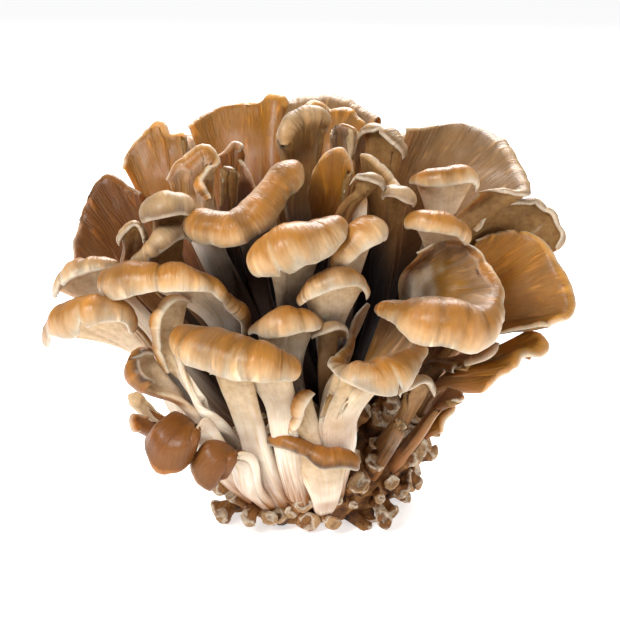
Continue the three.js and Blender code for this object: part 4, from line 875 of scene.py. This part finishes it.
def grown_base():
    """The butt with its sprouts as one plain mesh."""
    store = bpy.data.collections.new("sprout kinds")
    for number, form in enumerate(SPROUTS):
        store.objects.link(sprout(f"sprout_{number}", *form))
    vertices, faces = base_surface()
    butt = make_mesh("butt", vertices, faces, {"tone": np.full(len(vertices), 0.5)}, BUTT)
    growth = butt.modifiers.new("sprouts", "NODES")
    growth.node_group = sprout_tree()
    wanted = {"Sprouts": store, **SPROUTING}
    for item in growth.node_group.interface.items_tree:
        if item.in_out == "INPUT" and item.name in wanted:
            growth[item.identifier] = wanted[item.name]
    evaluated = butt.evaluated_get(bpy.context.evaluated_depsgraph_get())
    mesh = bpy.data.meshes.new_from_object(evaluated)
    for vertex in mesh.vertices:
        vertex.co.z = max(vertex.co.z, 0)
    mesh.shade_smooth()
    piece = put("cut_base_grown", mesh)
    for spare in [butt, *store.objects]:
        bpy.data.objects.remove(spare)
    bpy.data.collections.remove(store)
    return piece


base = grown_base()
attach(base, "root")
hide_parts("cut_base")


# ---- Studio: floor, light and camera, in metres and watts ----
FLOOR_REACH = 3
AIM = Vector((2, 0, 61.6)) * MM
RISE = math.radians(17)  # how far the camera looks down
DISTANCE = 520 * MM
LENS, SENSOR = 100, 36  # millimetres
LAMPS = [  # name, place, width, power
    ("key_left", (-0.45, -0.6, 0.62), 0.3, 7.2),
    ("fill_right", (0.7, -0.5, 0.35), 0.5, 1.5),
    ("back_top", (0.05, 0.55, 0.6), 0.45, 10),
]


def studio_floor():
    """A backlit sheet of white satin acrylic: it keeps the ground bright and its reflection faint."""
    material = bpy.data.materials.new("white satin acrylic sheet")
    material.use_nodes = True
    surface = material.node_tree.nodes["Principled BSDF"]
    looks = {"Base Color": colour("#F4F4F5"), "Emission Color": WHITE, "Emission Strength": 0.6,
             "Roughness": 0.32, "Specular IOR Level": 0.25}
    for socket, value in looks.items():
        surface.inputs[socket].default_value = value
    corners = [(x * FLOOR_REACH, y * FLOOR_REACH, 0) for x, y in ((-1, -1), (1, -1), (1, 1), (-1, 1))]
    mesh = bpy.data.meshes.new("studio_floor")
    mesh.from_pydata(corners, [], [(0, 1, 2, 3)])
    mesh.materials.append(material)
    put("studio_floor", mesh)


def studio_light():
    """Three softboxes aimed at the head, in a pale room."""
    world = bpy.data.worlds.new("white studio")
    world.use_nodes = True
    sky = world.node_tree.nodes["Background"]
    sky.inputs["Color"].default_value = WHITE
    sky.inputs["Strength"].default_value = 0.35
    bpy.context.scene.world = world
    for name, place, size, power in LAMPS:
        lamp = bpy.data.lights.new(name, "AREA")
        lamp.size = size
        lamp.energy = power
        holder = put(name, lamp)
        holder.location = place
        holder.rotation_euler = (AIM - Vector(place)).to_track_quat("-Z", "Y").to_euler()


def studio_camera():
    """A long lens that looks down a little at the middle of the head."""
    data = bpy.data.cameras.new("studio_camera")
    data.lens = LENS
    data.sensor_width = SENSOR
    camera = put("studio_camera", data)
    back = Vector((0, -math.cos(RISE), math.sin(RISE)))
    camera.location = AIM + back * DISTANCE
    camera.rotation_euler = (-back).to_track_quat("-Z", "Y").to_euler()
    bpy.context.scene.camera = camera
    bpy.context.scene.view_settings.view_transform = "Standard"


studio_floor()
studio_light()
studio_camera()
